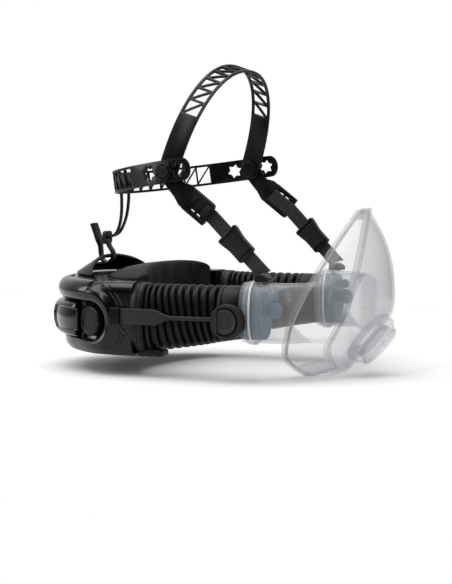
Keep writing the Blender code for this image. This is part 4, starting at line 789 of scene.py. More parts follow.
def makeKnobs():
    r, thick, rim, dish = knob["radius"], knob["thick"], knob["rim"], knob["dish"]
    for name, side in sides:
        placing = knobFrame(side) @ Matrix.Translation((0, 0, -knob["sink"]))
        outward = placing.to_3x3() @ zWay
        back = knob["sink"] + 0.0015 + unit["gap"] - 0.0125
        profile = [(0, back), (knob["post"], back), (knob["post"], -thick), (r - 0.0008, -thick),
                   (r, 0.0008 - thick), (r, -0.0009), (r - 0.0009, 0), (r - rim, 0),
                   (r - rim - 0.0005, -dish), (0.0055, -dish * 0.72), (0, -dish * 0.6)]
        settle(newPiece("latchKnob-" + name, turn(rounded(profile, 0.0006, 5), placing.translation, outward),
                        "soft_black"), "latch_knob_" + name, "latch_knob_" + name, smooth=50)
        stippleOver("knobGrip-" + name, discPatch(r - rim - 0.0010, placing, -dish * 0.85),
                    "latch_knob_" + name, "soft_black", knob["dots"], knob["dotRadius"], knob["seed"] + side)


# strap sliders with ribs across
sliderLow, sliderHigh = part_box("strap_slider_right")
slider = {"ribs": 5, "ribDepth": 0.0009, "edge": 0.00022}


def makeSliders():
    for name, side in sides:
        low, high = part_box("strap_slider_" + name)
        near, far = (low.x, high.x) if side > 0 else (high.x, low.x)
        length = high.y - low.y
        outline = [(near, low.y), (near, high.y), (far, high.y)]
        pitch = length / slider["ribs"]
        for index in range(slider["ribs"]):
            start = high.y - pitch * index
            deep = far - side * slider["ribDepth"]
            outline += [(far, start - pitch * 0.55), (deep, start - pitch * 0.64),
                        (deep, start - pitch * 0.90), (far, start - pitch * 0.99)]
        outline[-1] = (far, low.y)
        outline = rounded(outline, slider["edge"], 3, closed=True)
        rings = []
        middle = (low.z + high.z) / 2
        for level, inset in ((low.z, 0.0006), (low.z + 0.0002, 0.0002), (low.z + 0.0007, 0.0),
                             (high.z - 0.0007, 0.0), (high.z - 0.0002, 0.0002), (high.z, 0.0006)):
            rings.append([Vector((x if abs(x - near) < 1e-6 else x - side * inset, y, level))
                          for x, y in outline])
        settle(newPiece("strapSlider-" + name, skin(bmesh.new(), rings), "soft_black"), "unit",
               "strap_slider_" + name)


def between(line, place):
    # the value at a place, on straight lines through a sorted list of (place, value)
    if place <= line[0][0]:
        return line[0][1]
    for (a, u), (b, v) in zip(line, line[1:]):
        if place <= b:
            return u + (v - u) * (place - a) / max(b - a, 1e-9)
    return line[-1][1]


makeOuterCasing()
makeInnerCasing()
makeFilterCover()
makeKnobs()
makeSliders()
print("power unit done")


def refined(node, body, edge=0.0004, segments=3, slotName=None, smooth=38, name=None):
    # a merged copy of a solid with its corners rounded
    source = frame["nodes"][node]
    bm = bmesh.new()
    bm.from_mesh(source.data)
    bmesh.ops.remove_doubles(bm, verts=bm.verts, dist=2e-6)
    bmesh.ops.dissolve_limit(bm, angle_limit=math.radians(1.5), verts=bm.verts, edges=bm.edges)
    piece = newPiece(name or "fine-" + node, bm, slotName or slotOf[node], smooth=180, weld=False)
    softenEdges(piece, edge, segments)
    return settle(piece, body, node, smooth=smooth)


# side tubes: cuff, bellows and nozzle on one oval path
duct = {"start": -0.0105, "cuffEnd": -0.0202, "portY": -0.0975, "rootX": 0.075, "frontX": 0.0716,
        "rootTop": 0.0270, "frontTop": 0.0272, "rootBottom": -0.0240, "frontBottom": -0.0115,
        "halfWidth": 0.013, "power": 2.6, "swell": 0.0006, "count": 72, "wall": 0.0016}
bellows = {"start": -0.0205, "length": 0.059, "ribs": 10, "depth": 0.0030, "slant": 0.0042, "wall": 0.0010,
           "along": 221, "around": 97, "flat": 1.25}
port = {"halfWidth": 0.0132, "halfHeight": 0.0222, "straight": 0.026, "bend": 0.042, "inset": 0.042,
        "z": 0.00785, "wall": 0.0018}


def ductRing(y, side, grow=0.0, lean=0.0):
    share = max((duct["cuffEnd"] - y) / (duct["cuffEnd"] - duct["portY"]), 0.0)
    x = duct["rootX"] + (duct["frontX"] - duct["rootX"]) * share
    top = duct["rootTop"] + (duct["frontTop"] - duct["rootTop"]) * share
    bottom = duct["rootBottom"] + (duct["frontBottom"] - duct["rootBottom"]) * share
    z, half = (top + bottom) / 2, (top - bottom) / 2
    return [Vector((side * (x + across), y + lean * up / half, z + up)) for across, up in
            ovalPoints(duct["halfWidth"] + grow, half + grow, duct["count"], duct["power"])]


def portCentre(y):
    share = (duct["portY"] - port["straight"] - y) / port["bend"]
    return duct["frontX"] - port["inset"] * ease(share), port["z"]


def portRing(y, side, grow=0.0, count=72):
    x, z = portCentre(y)
    return [Vector((side * (x + across), y, z + up)) for across, up in
            ovalPoints(port["halfWidth"] + grow, port["halfHeight"] + grow, count, duct["power"])]


def tubeOf(name, outside, inside, slotName):
    return newPiece(name, skin(bmesh.new(), outside + list(reversed(inside)), pathClosed=True, caps=False),
                    slotName, smooth=50)


def makeCuffs():
    end = duct["cuffEnd"]
    for name, side in sides:
        swell = duct["swell"]
        steps = [(duct["start"], -0.0002), (duct["start"] - 0.0004, 0.0), (-0.0122, 0.0001),
                 (-0.0132, swell * 0.8), (-0.0136, swell), (-0.0150, swell), (-0.0153, swell - 0.0005),
                 (-0.0157, swell - 0.0005), (-0.0160, swell), (end + 0.0016, swell),
                 (end + 0.0008, swell * 0.6), (end + 0.0002, 0.0), (end, -0.0005)]
        outside = [ductRing(y, side, grow) for y, grow in steps]
        inside = [ductRing(y, side, -duct["wall"] - 0.001) for y in (duct["start"], end)]
        cuff = tubeOf("ductCuff-" + name, outside, inside, "soft_black")
        settle(cuff, "unit", "duct_cuff_" + name, smooth=50)
        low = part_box("duct_cuff_" + name)[0].z
        x = side * duct["rootX"]
        heel, toe = end + 0.0070, end - 0.0125
        outline = rounded([(heel, low + 0.0052), (toe, low + 0.0052), (toe, low), (heel, low)], 0.0018, 6,
                          closed=True)
        levels = ((-0.0068, 0.0009), (-0.0065, 0.0003), (-0.0058, 0.0), (0.0058, 0.0), (0.0065, 0.0003),
                  (0.0068, 0.0009))
        middleY, middleZ = (heel + toe) / 2, low + 0.0026
        rings = [[Vector((x + level, y - math.copysign(inset, y - middleY),
                          z - math.copysign(inset, z - middleZ))) for y, z in outline]
                 for level, inset in levels]
        settle(newPiece("cuffFoot-" + name, skin(bmesh.new(), rings), "soft_black"), "unit")


def bellowsTree():
    # a ribbed oval tube, written as a rule on a grid
    g, given, ids = startTree("bellows", {
        "Side": ("Float", 1.0), "Start": ("Float", bellows["start"]), "Length": ("Float", bellows["length"]),
        "Ribs": ("Float", float(bellows["ribs"])), "Depth": ("Float", bellows["depth"]),
        "Slant": ("Float", bellows["slant"]), "Half Width": ("Float", duct["halfWidth"]),
        "Flat Tops": ("Float", bellows["flat"]), "Material": ("Material", None)})
    grid = g.add("GeometryNodeMeshGrid", None, {
        "Size X": 1.0, "Size Y": 1.0, "Vertices X": bellows["along"], "Vertices Y": bellows["around"]})
    here = g.add("ShaderNodeSeparateXYZ", None, [g.add("GeometryNodeInputPosition")["Position"]])
    along, turned = here["X"] + 0.5, (here["Y"] + 0.5) * math.tau
    y = given["Start"] - given["Length"] * along
    share = (duct["cuffEnd"] - y) / (duct["cuffEnd"] - duct["portY"])
    x = duct["rootX"] + share * (duct["frontX"] - duct["rootX"])
    top = duct["rootTop"] + share * (duct["frontTop"] - duct["rootTop"])
    bottom = duct["rootBottom"] + share * (duct["frontBottom"] - duct["rootBottom"])
    half, middle = (top - bottom) * 0.5, (top + bottom) * 0.5
    wave = (along * given["Ribs"] * math.tau).cos() * given["Flat Tops"]
    valley = (wave * 0.5 + 0.5).most(0.0).least(1.0)
    valley = valley * valley * (3.0 - valley * 2.0)
    grow = valley * given["Depth"] * -1.0
    power = 2 / duct["power"]
    c, s = turned.cos(), turned.sin()
    across = c.sign() * c.size() ** power * (given["Half Width"] + grow)
    up = s.sign() * s.size() ** power * (half + grow)
    lean = (along * math.pi).sin() * given["Slant"] * up / half
    placed = g.add("ShaderNodeCombineXYZ", None, [given["Side"] * (x + across), y + lean, middle + up])
    moved = g.add("GeometryNodeSetPosition", None, {"Geometry": grid["Mesh"], "Position": placed["Vector"]})
    closed = g.add("GeometryNodeMergeByDistance", None, {"Geometry": moved["Geometry"], "Distance": 1e-6})
    return endTree(g, closed["Geometry"], given["Material"]), ids


def faceOut(thing, centreOf):
    # turns an open shell's faces away from its middle line
    bm = bmesh.new()
    bm.from_mesh(thing.data)
    bmesh.ops.recalc_face_normals(bm, faces=bm.faces)
    outward = sum(1 if face.normal.dot(face.calc_center_median() - centreOf(face.calc_center_median())) > 0
                  else -1 for face in bm.faces)
    if outward < 0:
        bmesh.ops.reverse_faces(bm, faces=bm.faces)
    bm.to_mesh(thing.data)
    bm.free()


def makeBellows():
    tree, ids = bellowsTree()
    for name, side in sides:
        piece = newPiece("bellows-" + name, bmesh.new(), "soft_black")
        grown(piece, "bellows", tree, ids, {"Side": float(side), "Material": finishes["soft_black"]})
        faceOut(piece, lambda p: Vector((side * duct["rootX"] - side * 0.002, p.y, 0.004)))
        change = piece.modifiers.new("wall", "SOLIDIFY")
        change.thickness, change.offset = bellows["wall"], -1.0
        bpy.context.view_layer.update()
        plain(piece)
        piece.data.shade_smooth()
        markEdges(piece)
        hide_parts("duct_bellows_" + name)
        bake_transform(piece)


def makeNozzles():
    shoulder = duct["portY"]
    for name, side in sides:
        begin = shoulder + 0.0177
        neck = [(begin, -0.0010), (begin - 0.0003, -0.0004), (begin - 0.0009, 0.0), (begin - 0.0030, 0.0),
                (begin - 0.0033, -0.0006), (begin - 0.0043, -0.0006), (begin - 0.0046, 0.0),
                (shoulder + 0.0030, 0.0), (shoulder + 0.0012, -0.0002), (shoulder + 0.0004, -0.0008)]
        outside = [ductRing(y, side, grow) for y, grow in neck]
        outside.append(portRing(shoulder + 0.0003, side, -0.0024))
        outside.append(portRing(shoulder - 0.001, side, -0.0024))
        inside = [ductRing(begin, side, -0.0042), portRing(shoulder, side, -0.0042),
                  portRing(shoulder - 0.001, side, -0.0042)]
        settle(tubeOf("nozzleNeck-" + name, outside, inside, "soft_black"), "mask", "duct_nozzle_" + name,
               smooth=50)
        # the blue plug inside the mask's side tube, with three sealing ribs
        end = shoulder - 0.015
        plug = [(shoulder - 0.0011, -0.0030)]
        for middle in spread(shoulder - 0.0028, end + 0.0026, 4):
            plug += [(middle + 0.0011, -0.0030), (middle + 0.0006, -0.0023), (middle - 0.0006, -0.0023),
                     (middle - 0.0011, -0.0030)]
        plug += [(end + 0.0004, -0.0030), (end, -0.0034)]
        outside = [portRing(y, side, grow) for y, grow in plug]
        inside = [portRing(y, side, -0.0041) for y in (shoulder - 0.0011, end)]
        settle(tubeOf("nozzlePlug-" + name, outside, inside, "flap_blue"), "mask", smooth=40)


# the straps from the sliders to the clips
# one amount paints the whole strap a lighter tone through the worn-edge colour
sideStrap = {"beside": 0.0886, "gap": 0.0005, "bow": 0.0012, "lift": 0.9, "height": 0.0122,
             "cord": 0.0034, "thick": 0.0019, "z": (sliderLow.z + sliderHigh.z) / 2, "closeOver": 0.03,
             "taperStart": 0.36, "taperLength": 0.19, "edge": 0.0007, "stations": 90}


def makeSideStraps():
    for name, side in sides:
        low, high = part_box("side_strap_" + name)
        rings = []
        for number in range(sideStrap["stations"]):
            share = number / (sideStrap["stations"] - 1)
            y = high.y + (low.y - high.y) * share
            # beside the cuff first, then closing on the tube
            closing = min(max((duct["cuffEnd"] - y) / sideStrap["closeOver"], 0), 1)
            along = max((duct["cuffEnd"] - y) / (duct["cuffEnd"] - duct["portY"]), 0)
            tube = duct["rootX"] + (duct["frontX"] - duct["rootX"]) * along + duct["halfWidth"]
            x = side * (sideStrap["beside"] * (1 - closing) + tube * closing + sideStrap["gap"]
                        + sideStrap["bow"] * math.sin(math.pi * share) + sideStrap["thick"] / 2)
            narrow = ease((share - sideStrap["taperStart"]) / sideStrap["taperLength"])
            half = (sideStrap["height"] + (sideStrap["cord"] - sideStrap["height"]) * narrow) / 2
            thick = sideStrap["thick"] / 2 * (1 + 0.1 * narrow)
            section = rounded([(-thick, -half), (thick, -half + 0.0002), (thick, half - 0.0002),
                               (-thick, half)], sideStrap["edge"], 4, closed=True)
            rings.append([Vector((x + side * across, y, sideStrap["z"] + up)) for across, up in section])
        piece = newPiece("sideStrap-" + name, skin(bmesh.new(), rings), "soft_black")
        markEdges(piece)
        # the whole side strap painted a lighter tone through the worn-edge colour
        lift(piece, sideStrap["lift"])
        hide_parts("side_strap_" + name)
        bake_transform(piece)


# round clips, each with a press pad cut straight on one side
# the first two amounts paint the press pad a lighter tone and paint a highlight on the clip body's outer rim
clip = {"lift": 1.0, "bodyLift": 0.45, "dot": 0.00046, "spacing": 0.0012, "seed": 11,
        "recess": (0.0105, 0.0106), "pad": (0.0091, 0.0093), "flatAt": 0.6, "shift": 0.0012,
        "corner": 0.0012, "floor": 0.0034}


def makeClips():
    for name, side in sides:
        low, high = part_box("clip_body_" + name)
        radius = (high.y - low.y) / 2
        thick = high.x - low.x
        centre = Vector((high.x if side < 0 else low.x, (low.y + high.y) / 2, (low.z + high.z) / 2))
        profile = [(0, 0), (radius - 0.0006, 0), (radius, 0.0006), (radius, 0.0022),
                   (radius - 0.0005, 0.0025), (radius - 0.0005, 0.0030), (radius, 0.0033),
                   (radius, thick - 0.0008), (radius - 0.0008, thick), (0, thick)]
        body = newPiece("clipBody-" + name, turn(rounded(profile, 0.0004, 4), centre, xWay * side, 80),
                        "soft_black")
        padLow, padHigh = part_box("release_pad_" + name)
        outline = dOutline(*clip["recess"])
        floor = centre.x + side * clip["floor"]
        rings = [[Vector((level, centre.y + y, centre.z + z)) for y, z in outline]
                 for level in (floor, centre.x + side * (thick + 0.003))]
        cutWith(body, skin(bmesh.new(), rings))
        settle(body, "mask", "clip_body_" + name, smooth=45)
        # painted highlight on the outer face and rim of the clip body
        lift(body, clip["bodyLift"], abs(centre.x) + thick - 0.0022)
        outline = dOutline(*clip["pad"])
        near, far = (padHigh.x, padLow.x) if side < 0 else (padLow.x, padHigh.x)
        rings = []
        for level, shrink in ((near, 0.97), (near + side * 0.0003, 1.0), (far - side * 0.0005, 1.0),
                              (far - side * 0.0001, 0.975), (far, 0.93), (far - side * 0.0001, 0.80),
                              (far - side * 0.00045, 0.76), (far - side * 0.0005, 0.4)):
            rings.append([Vector((level, centre.y + y * shrink, centre.z + z * shrink)) for y, z in outline])
        pressPad = newPiece("releasePad-" + name, skin(bmesh.new(), rings), "soft_black", smooth=50)
        settle(pressPad, "release_pad_" + name, "release_pad_" + name, smooth=50)
        # the press pad painted a lighter tone all over, against its dark recess
        lift(pressPad, clip["lift"])
        patch = bmesh.new()
        face = far - side * 0.0005
        skin(patch, [[Vector((face, centre.y + y * share * 0.9 - 0.0012, centre.z + z * share))
                      for y, z in outline] for share in (0.72, 0.25)], caps=False)
        for v in patch.verts:
            v.co.y = min(v.co.y, centre.y - 0.0002)
        bmesh.ops.dissolve_degenerate(patch, edges=patch.edges, dist=1e-6)
        bmesh.ops.recalc_face_normals(patch, faces=patch.faces)
        if patch.faces and patch.faces[:][0].normal.x * side < 0:
            bmesh.ops.reverse_faces(patch, faces=patch.faces)
        stippleOver("padGrip-" + name, patch, "release_pad_" + name, "soft_black", clip["spacing"],
                    clip["dot"], clip["seed"] + side)


def dOutline(halfY, halfZ):
    # a disc cut straight on the side toward the unit
    stop = math.acos(clip["flatAt"])
    points = [(halfY * math.cos(a) + clip["shift"], halfZ * math.sin(a))
              for a in spread(stop, math.tau - stop, 48)]
    return rounded(points, clip["corner"], 3, closed=True)


makeCuffs()
makeBellows()
makeNozzles()
makeSideStraps()
makeClips()
print("side tubes done")


# the mask: a clear dome with two side tubes, one skin
mask = {"low": -0.043, "high": 0.0815, "halfWidth": 0.0555, "power": 2.35, "wall": 0.0018,
        "voxel": 0.0015, "beadRadius": 0.0013, "sealWidth": 0.0076, "sealThick": 0.003,
        "tubeFrom": 0.057, "valveHole": 0.0138}
valve = {"centre": Vector((0, -0.168, -0.0148)), "axis": Vector((0, -0.775, -0.632)).normalized(),
         "bore": 0.0125, "radius": 0.0215, "length": 0.0088, "flap": 0.015, "vents": 8, "cover": 0.0015}


def maskHalfWidth(z):
    share = min(max((z - mask["low"]) / (mask["high"] - mask["low"]), 0.0), 1.0)
    if share < 0.36:
        return 0.026 + (mask["halfWidth"] - 0.026) * math.sin(math.pi / 2 * share / 0.36) ** 0.8
    return mask["halfWidth"] + (0.0105 - mask["halfWidth"]) * ((share - 0.36) / 0.64) ** 1.45


def maskRim(z):
    share = min(max((z - mask["low"]) / (mask["high"] - mask["low"]), 0.0), 1.0)
    return -0.112 - 0.051 * share ** 1.15 - 0.018 * max(1 - share / 0.14, 0.0) ** 1.6


def maskFront(z):
    brow = max((z - 0.020) / (mask["high"] - 0.020), 0.0)
    below = 0.003 - z
    return -0.182 + 0.019 * brow ** 2.6 + 0.79 * (below + math.sqrt(below * below + 0.006 ** 2)) / 2


def maskRing(z, back, count=64):
    half, rim = maskHalfWidth(z), maskRim(z)
    reach = rim - maskFront(z)
    ring = [Vector((half, rim + back, z))]
    for angle in spread(0, math.pi, count):
        c, s = math.cos(angle), math.sin(angle)
        ring.append(Vector((math.copysign(abs(c) ** (2 / mask["power"]), c) * half,
                            rim - abs(s) ** (2 / mask["power"]) * reach, z)))
    ring.append(Vector((-half, rim + back, z)))
    return ring


def makeMaskShell():
    bm = bmesh.new()
    levels = [mask["low"] + (mask["high"] - mask["low"]) * (0.5 - 0.5 * math.cos(math.pi * share))
              for share in spread(0, 1, 60)]
    skin(bm, [maskRing(z, 0.007) for z in levels])
    ends = [duct["portY"] + 0.007] + spread(duct["portY"] - port["straight"],
                                            duct["portY"] - port["straight"] - port["bend"], 24)
    for name, side in sides:
        skin(bm, [portRing(y, side) for y in ends])
    shell = newPiece("maskShell", bm, "clear_silicone", smooth=180)
    change = shell.modifiers.new("union", "REMESH")
    change.mode, change.voxel_size, change.adaptivity = "VOXEL", mask["voxel"], 0.0
    bpy.context.view_layer.update()
    plain(shell)
    bm = bmesh.new()
    bm.from_mesh(shell.data)
    for again in range(7):
        bmesh.ops.smooth_vert(bm, verts=bm.verts, factor=0.5, use_axis_x=True, use_axis_y=True,
                              use_axis_z=True)
    spare = []
    for v in bm.verts:
        x, y, z = v.co
        along = (v.co - valve["centre"]).dot(valve["axis"])
        off = (v.co - valve["centre"] - valve["axis"] * along).length
        inDome = abs(x) < mask["tubeFrom"]
        if (inDome and y > min(maskRim(z), duct["portY"])) or \
                (y <= duct["portY"] and off < mask["valveHole"] and along > -0.02):
            spare.append(v)
    bmesh.ops.delete(bm, geom=spare, context="VERTS")
    bmesh.ops.bisect_plane(bm, geom=bm.verts[:] + bm.edges[:] + bm.faces[:],
                           plane_co=(0, duct["portY"], 0), plane_no=(0, 1, 0), clear_outer=True)
    # the cut edges are drawn to their exact lines
    for edge in bm.edges:
        if not edge.is_boundary:
            continue
        for v in edge.verts:
            x, y, z = v.co
            if y > duct["portY"] - 0.004 and abs(x) > mask["tubeFrom"]:
                v.co.y = duct["portY"]
            elif y > maskRim(z) - 0.004:
                v.co.y = maskRim(z)
    bmesh.ops.recalc_face_normals(bm, faces=bm.faces)
    bm.to_mesh(shell.data)
    bm.free()
    faceOut(shell, lambda p: Vector((0, -0.135, 0.01)) if abs(p.x) < 0.056 else
            Vector((math.copysign(portCentre(p.y)[0], p.x), p.y, port["z"])))
    change = shell.modifiers.new("wall", "SOLIDIFY")
    change.thickness, change.offset = mask["wall"], -1.0
    bpy.context.view_layer.update()
    plain(shell)
    shell.data.shade_smooth()
    settle(shell, "mask", "mask_shell")


def makeRimAndSeal():
    levels = [mask["low"] + (mask["high"] - mask["low"]) * (0.5 - 0.5 * math.cos(math.pi * share))
              for share in spread(0, 1, 70)]
    path = [(-1, z) for z in levels] + [(1, z) for z in reversed(levels)]
    rings, thin, wide = [], mask["sealThick"], mask["sealWidth"]
    points = [Vector((side * (maskHalfWidth(z) - 0.0009), maskRim(z) - 0.0002, z)) for side, z in path]
    bead = []
    for index, point in enumerate(points):
        run = (points[(index + 1) % len(points)] - points[index - 1]).normalized()
        out = run.cross(yWay).normalized()
        back = out.cross(run).normalized()
        r = mask["beadRadius"]
        bead.append([point + out * r * math.cos(a) + back * r * math.sin(a)
                     for a in [math.tau * k / 14 for k in range(14)]])
    settle(newPiece("maskRimBead", skin(bmesh.new(), bead, pathClosed=True, caps=False),
                    "clear_silicone", smooth=180), "mask")
    for side, z in path:
        half = maskHalfWidth(z)
        inZ = min(max(z, mask["low"] + wide), mask["high"] - wide)
        inHalf = max(min(half, maskHalfWidth(inZ)) - wide, 0.0015)
        share = (z - mask["low"]) / (mask["high"] - mask["low"])
        gap = 0.0006 + 0.0014 * max(1 - share / 0.12, 0.0)
        rim, inRim = maskRim(z) + gap, maskRim(inZ) + gap
        outer, inner = Vector((side * half, rim, z)), Vector((side * inHalf, inRim, inZ))
        ring = []
        for share, proud in ((0.0, 0.15), (0.0, 0.6), (0.06, 0.9), (0.35, 1.0), (0.7, 0.8), (0.95, 0.5),
                             (1.0, 0.3), (0.95, 0.1), (0.5, 0.0), (0.06, 0.0)):
            ring.append(outer.lerp(inner, share) + yWay * thin * proud)
        rings.append(ring)
    settle(newPiece("faceSeal", skin(bmesh.new(), rings, pathClosed=True, caps=False), "clear_silicone",
                    smooth=180), "mask", "face_seal")


def makeValve():
    r, bore, length, flap = valve["radius"], valve["bore"], valve["length"], valve["flap"]
    centre, axis = valve["centre"], valve["axis"]
    seat = [(bore, -0.005), (r, -0.005), (r, length * 0.35), (r - 0.0006, length * 0.5),
            (r - 0.0022, length * 0.55), (r - 0.0034, length * 0.8), (r - 0.0040, length),
            (flap + 0.0006, length), (flap + 0.0006, 0.002), (bore, 0.002)]
    settle(newPiece("valveSeat", turn(rounded(seat, 0.0008, 4, closed=True), centre, axis, 96, ring=True),
                    "clear_silicone", smooth=50), "mask", "valve_seat", smooth=50)
    low = 0.0023
    settle(newPiece("valveFlap", turn([(0, low), (flap - 0.0003, low), (flap, low + 0.0003),
                                       (flap - 0.0002, low + 0.0008), (flap * 0.8, low + 0.0009),
                                       (flap * 0.78, low + 0.0012), (0, low + 0.0012)], centre, axis, 72),
                    "clear_silicone", smooth=40), "valve_flap", "valve_flap", smooth=40)
    face, rim = length + 0.0003, r - 0.0040
    front = face + valve["cover"]
    disc = [(0, face), (rim - 0.0003, face), (rim, face + 0.0003), (rim - 0.0002, front - 0.0004),
            (rim - 0.0008, front), (rim - 0.0018, front), (rim - 0.0022, front - 0.0004),
            (0.0046, front - 0.0004), (0.0042, front), (0, front)]
    guard = newPiece("valveCover", turn(rounded(disc, 0.0002, 3), centre, axis, 96), "clear_silicone")
    placing = Matrix.Translation(centre) @ zWay.rotation_difference(axis).to_matrix().to_4x4()
    vents = bmesh.new()
    for index in range(valve["vents"]):
        start, stop = (math.tau * (index + part) / valve["vents"] for part in (0.16, 0.84))
        outline = [(0.0055, start)] + [(0.0055, a) for a in spread(start, stop, 5)[1:]]
        outline += [(flap - 0.001, a) for a in spread(stop, start, 9)]
        outline = rounded([(radius * math.cos(a), radius * math.sin(a)) for radius, a in outline], 0.0006, 3,
                          closed=True)
        skin(vents, [[placing @ Vector((x, y, level)) for x, y in outline]
                     for level in (face - 0.002, front + 0.002)])
    cutWith(guard, vents)
    settle(guard, "mask", "valve_cover", smooth=40)


band = {"setback": 0.0040,
        "collar": ((0, 0.0003), (0.0001, 0.0009), (0.0006, 0.0011), (0.0024, 0.0011), (0.0029, 0.0009),
                   (0.0030, 0.0003)),
        "ring": ((0.0034, 0.0003), (0.0034, 0.0009), (0.0036, 0.0013), (0.0046, 0.0013), (0.0048, 0.0009),
                 (0.0048, 0.0003))}


def makePortBands():
    # a soft clear collar with one white retaining line, and the blue inlet flap with its tongue
    for name, side in sides:
        front = duct["portY"] - band["setback"]
        for part, slotName, rows, nodes in (
                ("portCollar-", "clear_silicone", band["collar"], []),
                ("retainingRing-", "port_white", band["ring"], ["port_band_" + name])):
            rings = [portRing(front - back, side, grow, 96) for back, grow in rows]
            settle(newPiece(part + name, skin(bmesh.new(), rings, pathClosed=True, caps=False), slotName,
                            smooth=50), "mask", *nodes, smooth=50)
        low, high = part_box("inlet_flap_" + name)
        x, z = portCentre((low.y + high.y) / 2)
        halfX, halfZ = (high.x - low.x) / 2, (high.z - low.z) / 2
        rings = []
        for y, shrink in ((high.y, 0.98), (high.y - 0.0002, 1.0), (low.y + 0.0003, 1.0), (low.y, 0.97),
                          (low.y, 0.86), (low.y + 0.0003, 0.84), (low.y + 0.0003, 0.3)):
            rings.append([Vector((side * x + across * shrink, y, z + up * shrink))
                          for across, up in ovalPoints(halfX, halfZ, 72, duct["power"])])
        settle(newPiece("inletFlap-" + name, skin(bmesh.new(), rings), "flap_blue"), "inlet_flap_" + name,
               "inlet_flap_" + name, smooth=40)
        # the round tongue that stands forward of the flap, and the small lobe above it
        for part, (dx, dz, radius, reach) in (("tongue", (-0.001, 0.0020, 0.0060, 0.0085)),
                                              ("lobe", (-0.001, 0.0122, 0.0036, 0.0070))):
            flat = [(0, -0.0007), (radius - 0.0004, -0.0007), (radius, -0.0003), (radius, 0.0003),
                    (radius - 0.0004, 0.0007), (0, 0.0007)]
            middle = Vector((side * (x + dx), low.y - reach + radius * 0.4, z + dz))
            bm = turn(rounded(flat, 0.0003, 3), middle, xWay * side, 48)
            bmesh.ops.create_cube(bm, matrix=Matrix.Translation(
                (middle.x, (middle.y + low.y) / 2, middle.z)) @ Matrix.Diagonal(
                    (0.0012, abs(middle.y - low.y) + 0.0002, radius * 1.5, 1)))
            settle(newPiece(part + "-" + name, bm, "flap_blue", weld=False), "inlet_flap_" + name, smooth=40)


makeMaskShell()
makeRimAndSeal()
makeValve()
makePortBands()
print("mask done")


# head harness: flat moulded straps, made straight and then laid along their curves
crown = {"halfSpan": 0.0735, "height": 0.078, "lean": 0.32, "power": 2.2, "width": 0.016, "cells": 13,
         "solid": math.radians(30.5), "rail": 0.0021, "bar": 0.0013, "tip": 0.0076}
rear = {"halfSpan": 0.0803, "centreY": -0.052, "reach": 0.0915, "backZ": 0.0995, "slope": 0.143,
        "width": 0.017, "end": math.radians(92.8), "cells": 7, "truss": (math.radians(6), math.radians(57)),
        "rail": 0.0019, "bar": 0.0012, "stars": (math.radians(70), math.radians(86.7)), "star": 0.0058}
layer = {"thick": 0.0020, "edge": 0.00028, "pitch": 0.0018}
peg = {"y": -0.035, "z": 0.110, "hole": 0.0033}


def crownPoint(angle):
    c, s = math.cos(angle), math.sin(angle)
    rise = abs(s) ** (2 / crown["power"]) * crown["height"]
    return Vector((math.copysign(abs(c) ** (2 / crown["power"]), c) * crown["halfSpan"],
                   peg["y"] - crown["lean"] * rise, peg["z"] + rise))


def rearPoint(angle):
    y = rear["centreY"] + rear["reach"] * math.cos(angle)
    return Vector((rear["halfSpan"] * math.sin(angle), y,
                   rear["backZ"] + (rear["centreY"] + rear["reach"] - y) * rear["slope"]))


def measure(pointAt, low, high, count=700, lead=0.0):
    # the curve as points a known length apart, carried straight on by lead at both ends
    points = [pointAt(angle) for angle in spread(low, high, count)]
    if lead:
        points = [points[0] - zWay * lead] + points + [points[-1] - zWay * lead]
    lengths = [0.0]
    for a, b in zip(points, points[1:]):
        lengths.append(lengths[-1] + (b - a).length)
    return points, lengths


def lay(bm, points, lengths, across, inward):
    # (along, across, out) becomes a place on the curve
    place = 0
    order = sorted(bm.verts, key=lambda v: v.co.x)
    for v in order:
        s = min(max(v.co.x, 0.0), lengths[-1] - 1e-9)
        while place < len(lengths) - 2 and lengths[place + 1] < s:
            place += 1
        share = (s - lengths[place]) / max(lengths[place + 1] - lengths[place], 1e-12)
        here = points[place].lerp(points[place + 1], share)
        before, after = points[max(place - 3, 0)], points[min(place + 4, len(points) - 1)]
        run = (after - before).normalized()
        out = run.cross(across).normalized() * inward
        v.co = here + across * v.co.y + out * v.co.z


def latticeTree():
    # crossbars and diagonals, one pair for each cell
    kinds = {key: ("Float", None)
             for key in ("Pitch", "Height", "Bar", "Thickness", "Slope", "Reach", "Start")}
    g, given, ids = startTree("lattice", {"Cells": ("Int", None), **kinds, "Material": ("Material", None)})

    def join(*values):
        return g.add("ShaderNodeCombineXYZ", None, list(values))["Vector"]
    upright = g.add("GeometryNodeMeshCube", None, {
        "Size": join(given["Bar"], given["Height"], given["Thickness"]), "Vertices X": 3, "Vertices Y": 3})
    slant = g.add("GeometryNodeMeshCube", None, {
        "Size": join(given["Reach"], given["Bar"], given["Thickness"]), "Vertices X": 12, "Vertices Y": 2})
    slant = g.add("GeometryNodeTransform", None, {
        "Geometry": slant["Mesh"], "Translation": join(given["Pitch"] * 0.5, 0.0, 0.0),
        "Rotation": join(0.0, 0.0, given["Slope"])})
    both = g.add("GeometryNodeJoinGeometry")
    for geometry in (upright["Mesh"], slant["Geometry"]):
        g.tree.links.new(geometry.socket, both.node.inputs[0])
    line = g.add("GeometryNodeMeshLine", {"mode": "OFFSET"}, {
        "Count": given["Cells"], "Start Location": join(given["Start"], 0.0, 0.0),
        "Offset": join(given["Pitch"], 0.0, 0.0)})
    cells = g.add("GeometryNodeInstanceOnPoints", None,
                  {"Points": line["Mesh"], "Instance": both["Geometry"]})
    return endTree(g, cells["Instances"], given["Material"]), ids


lattice, latticeIds = latticeTree()


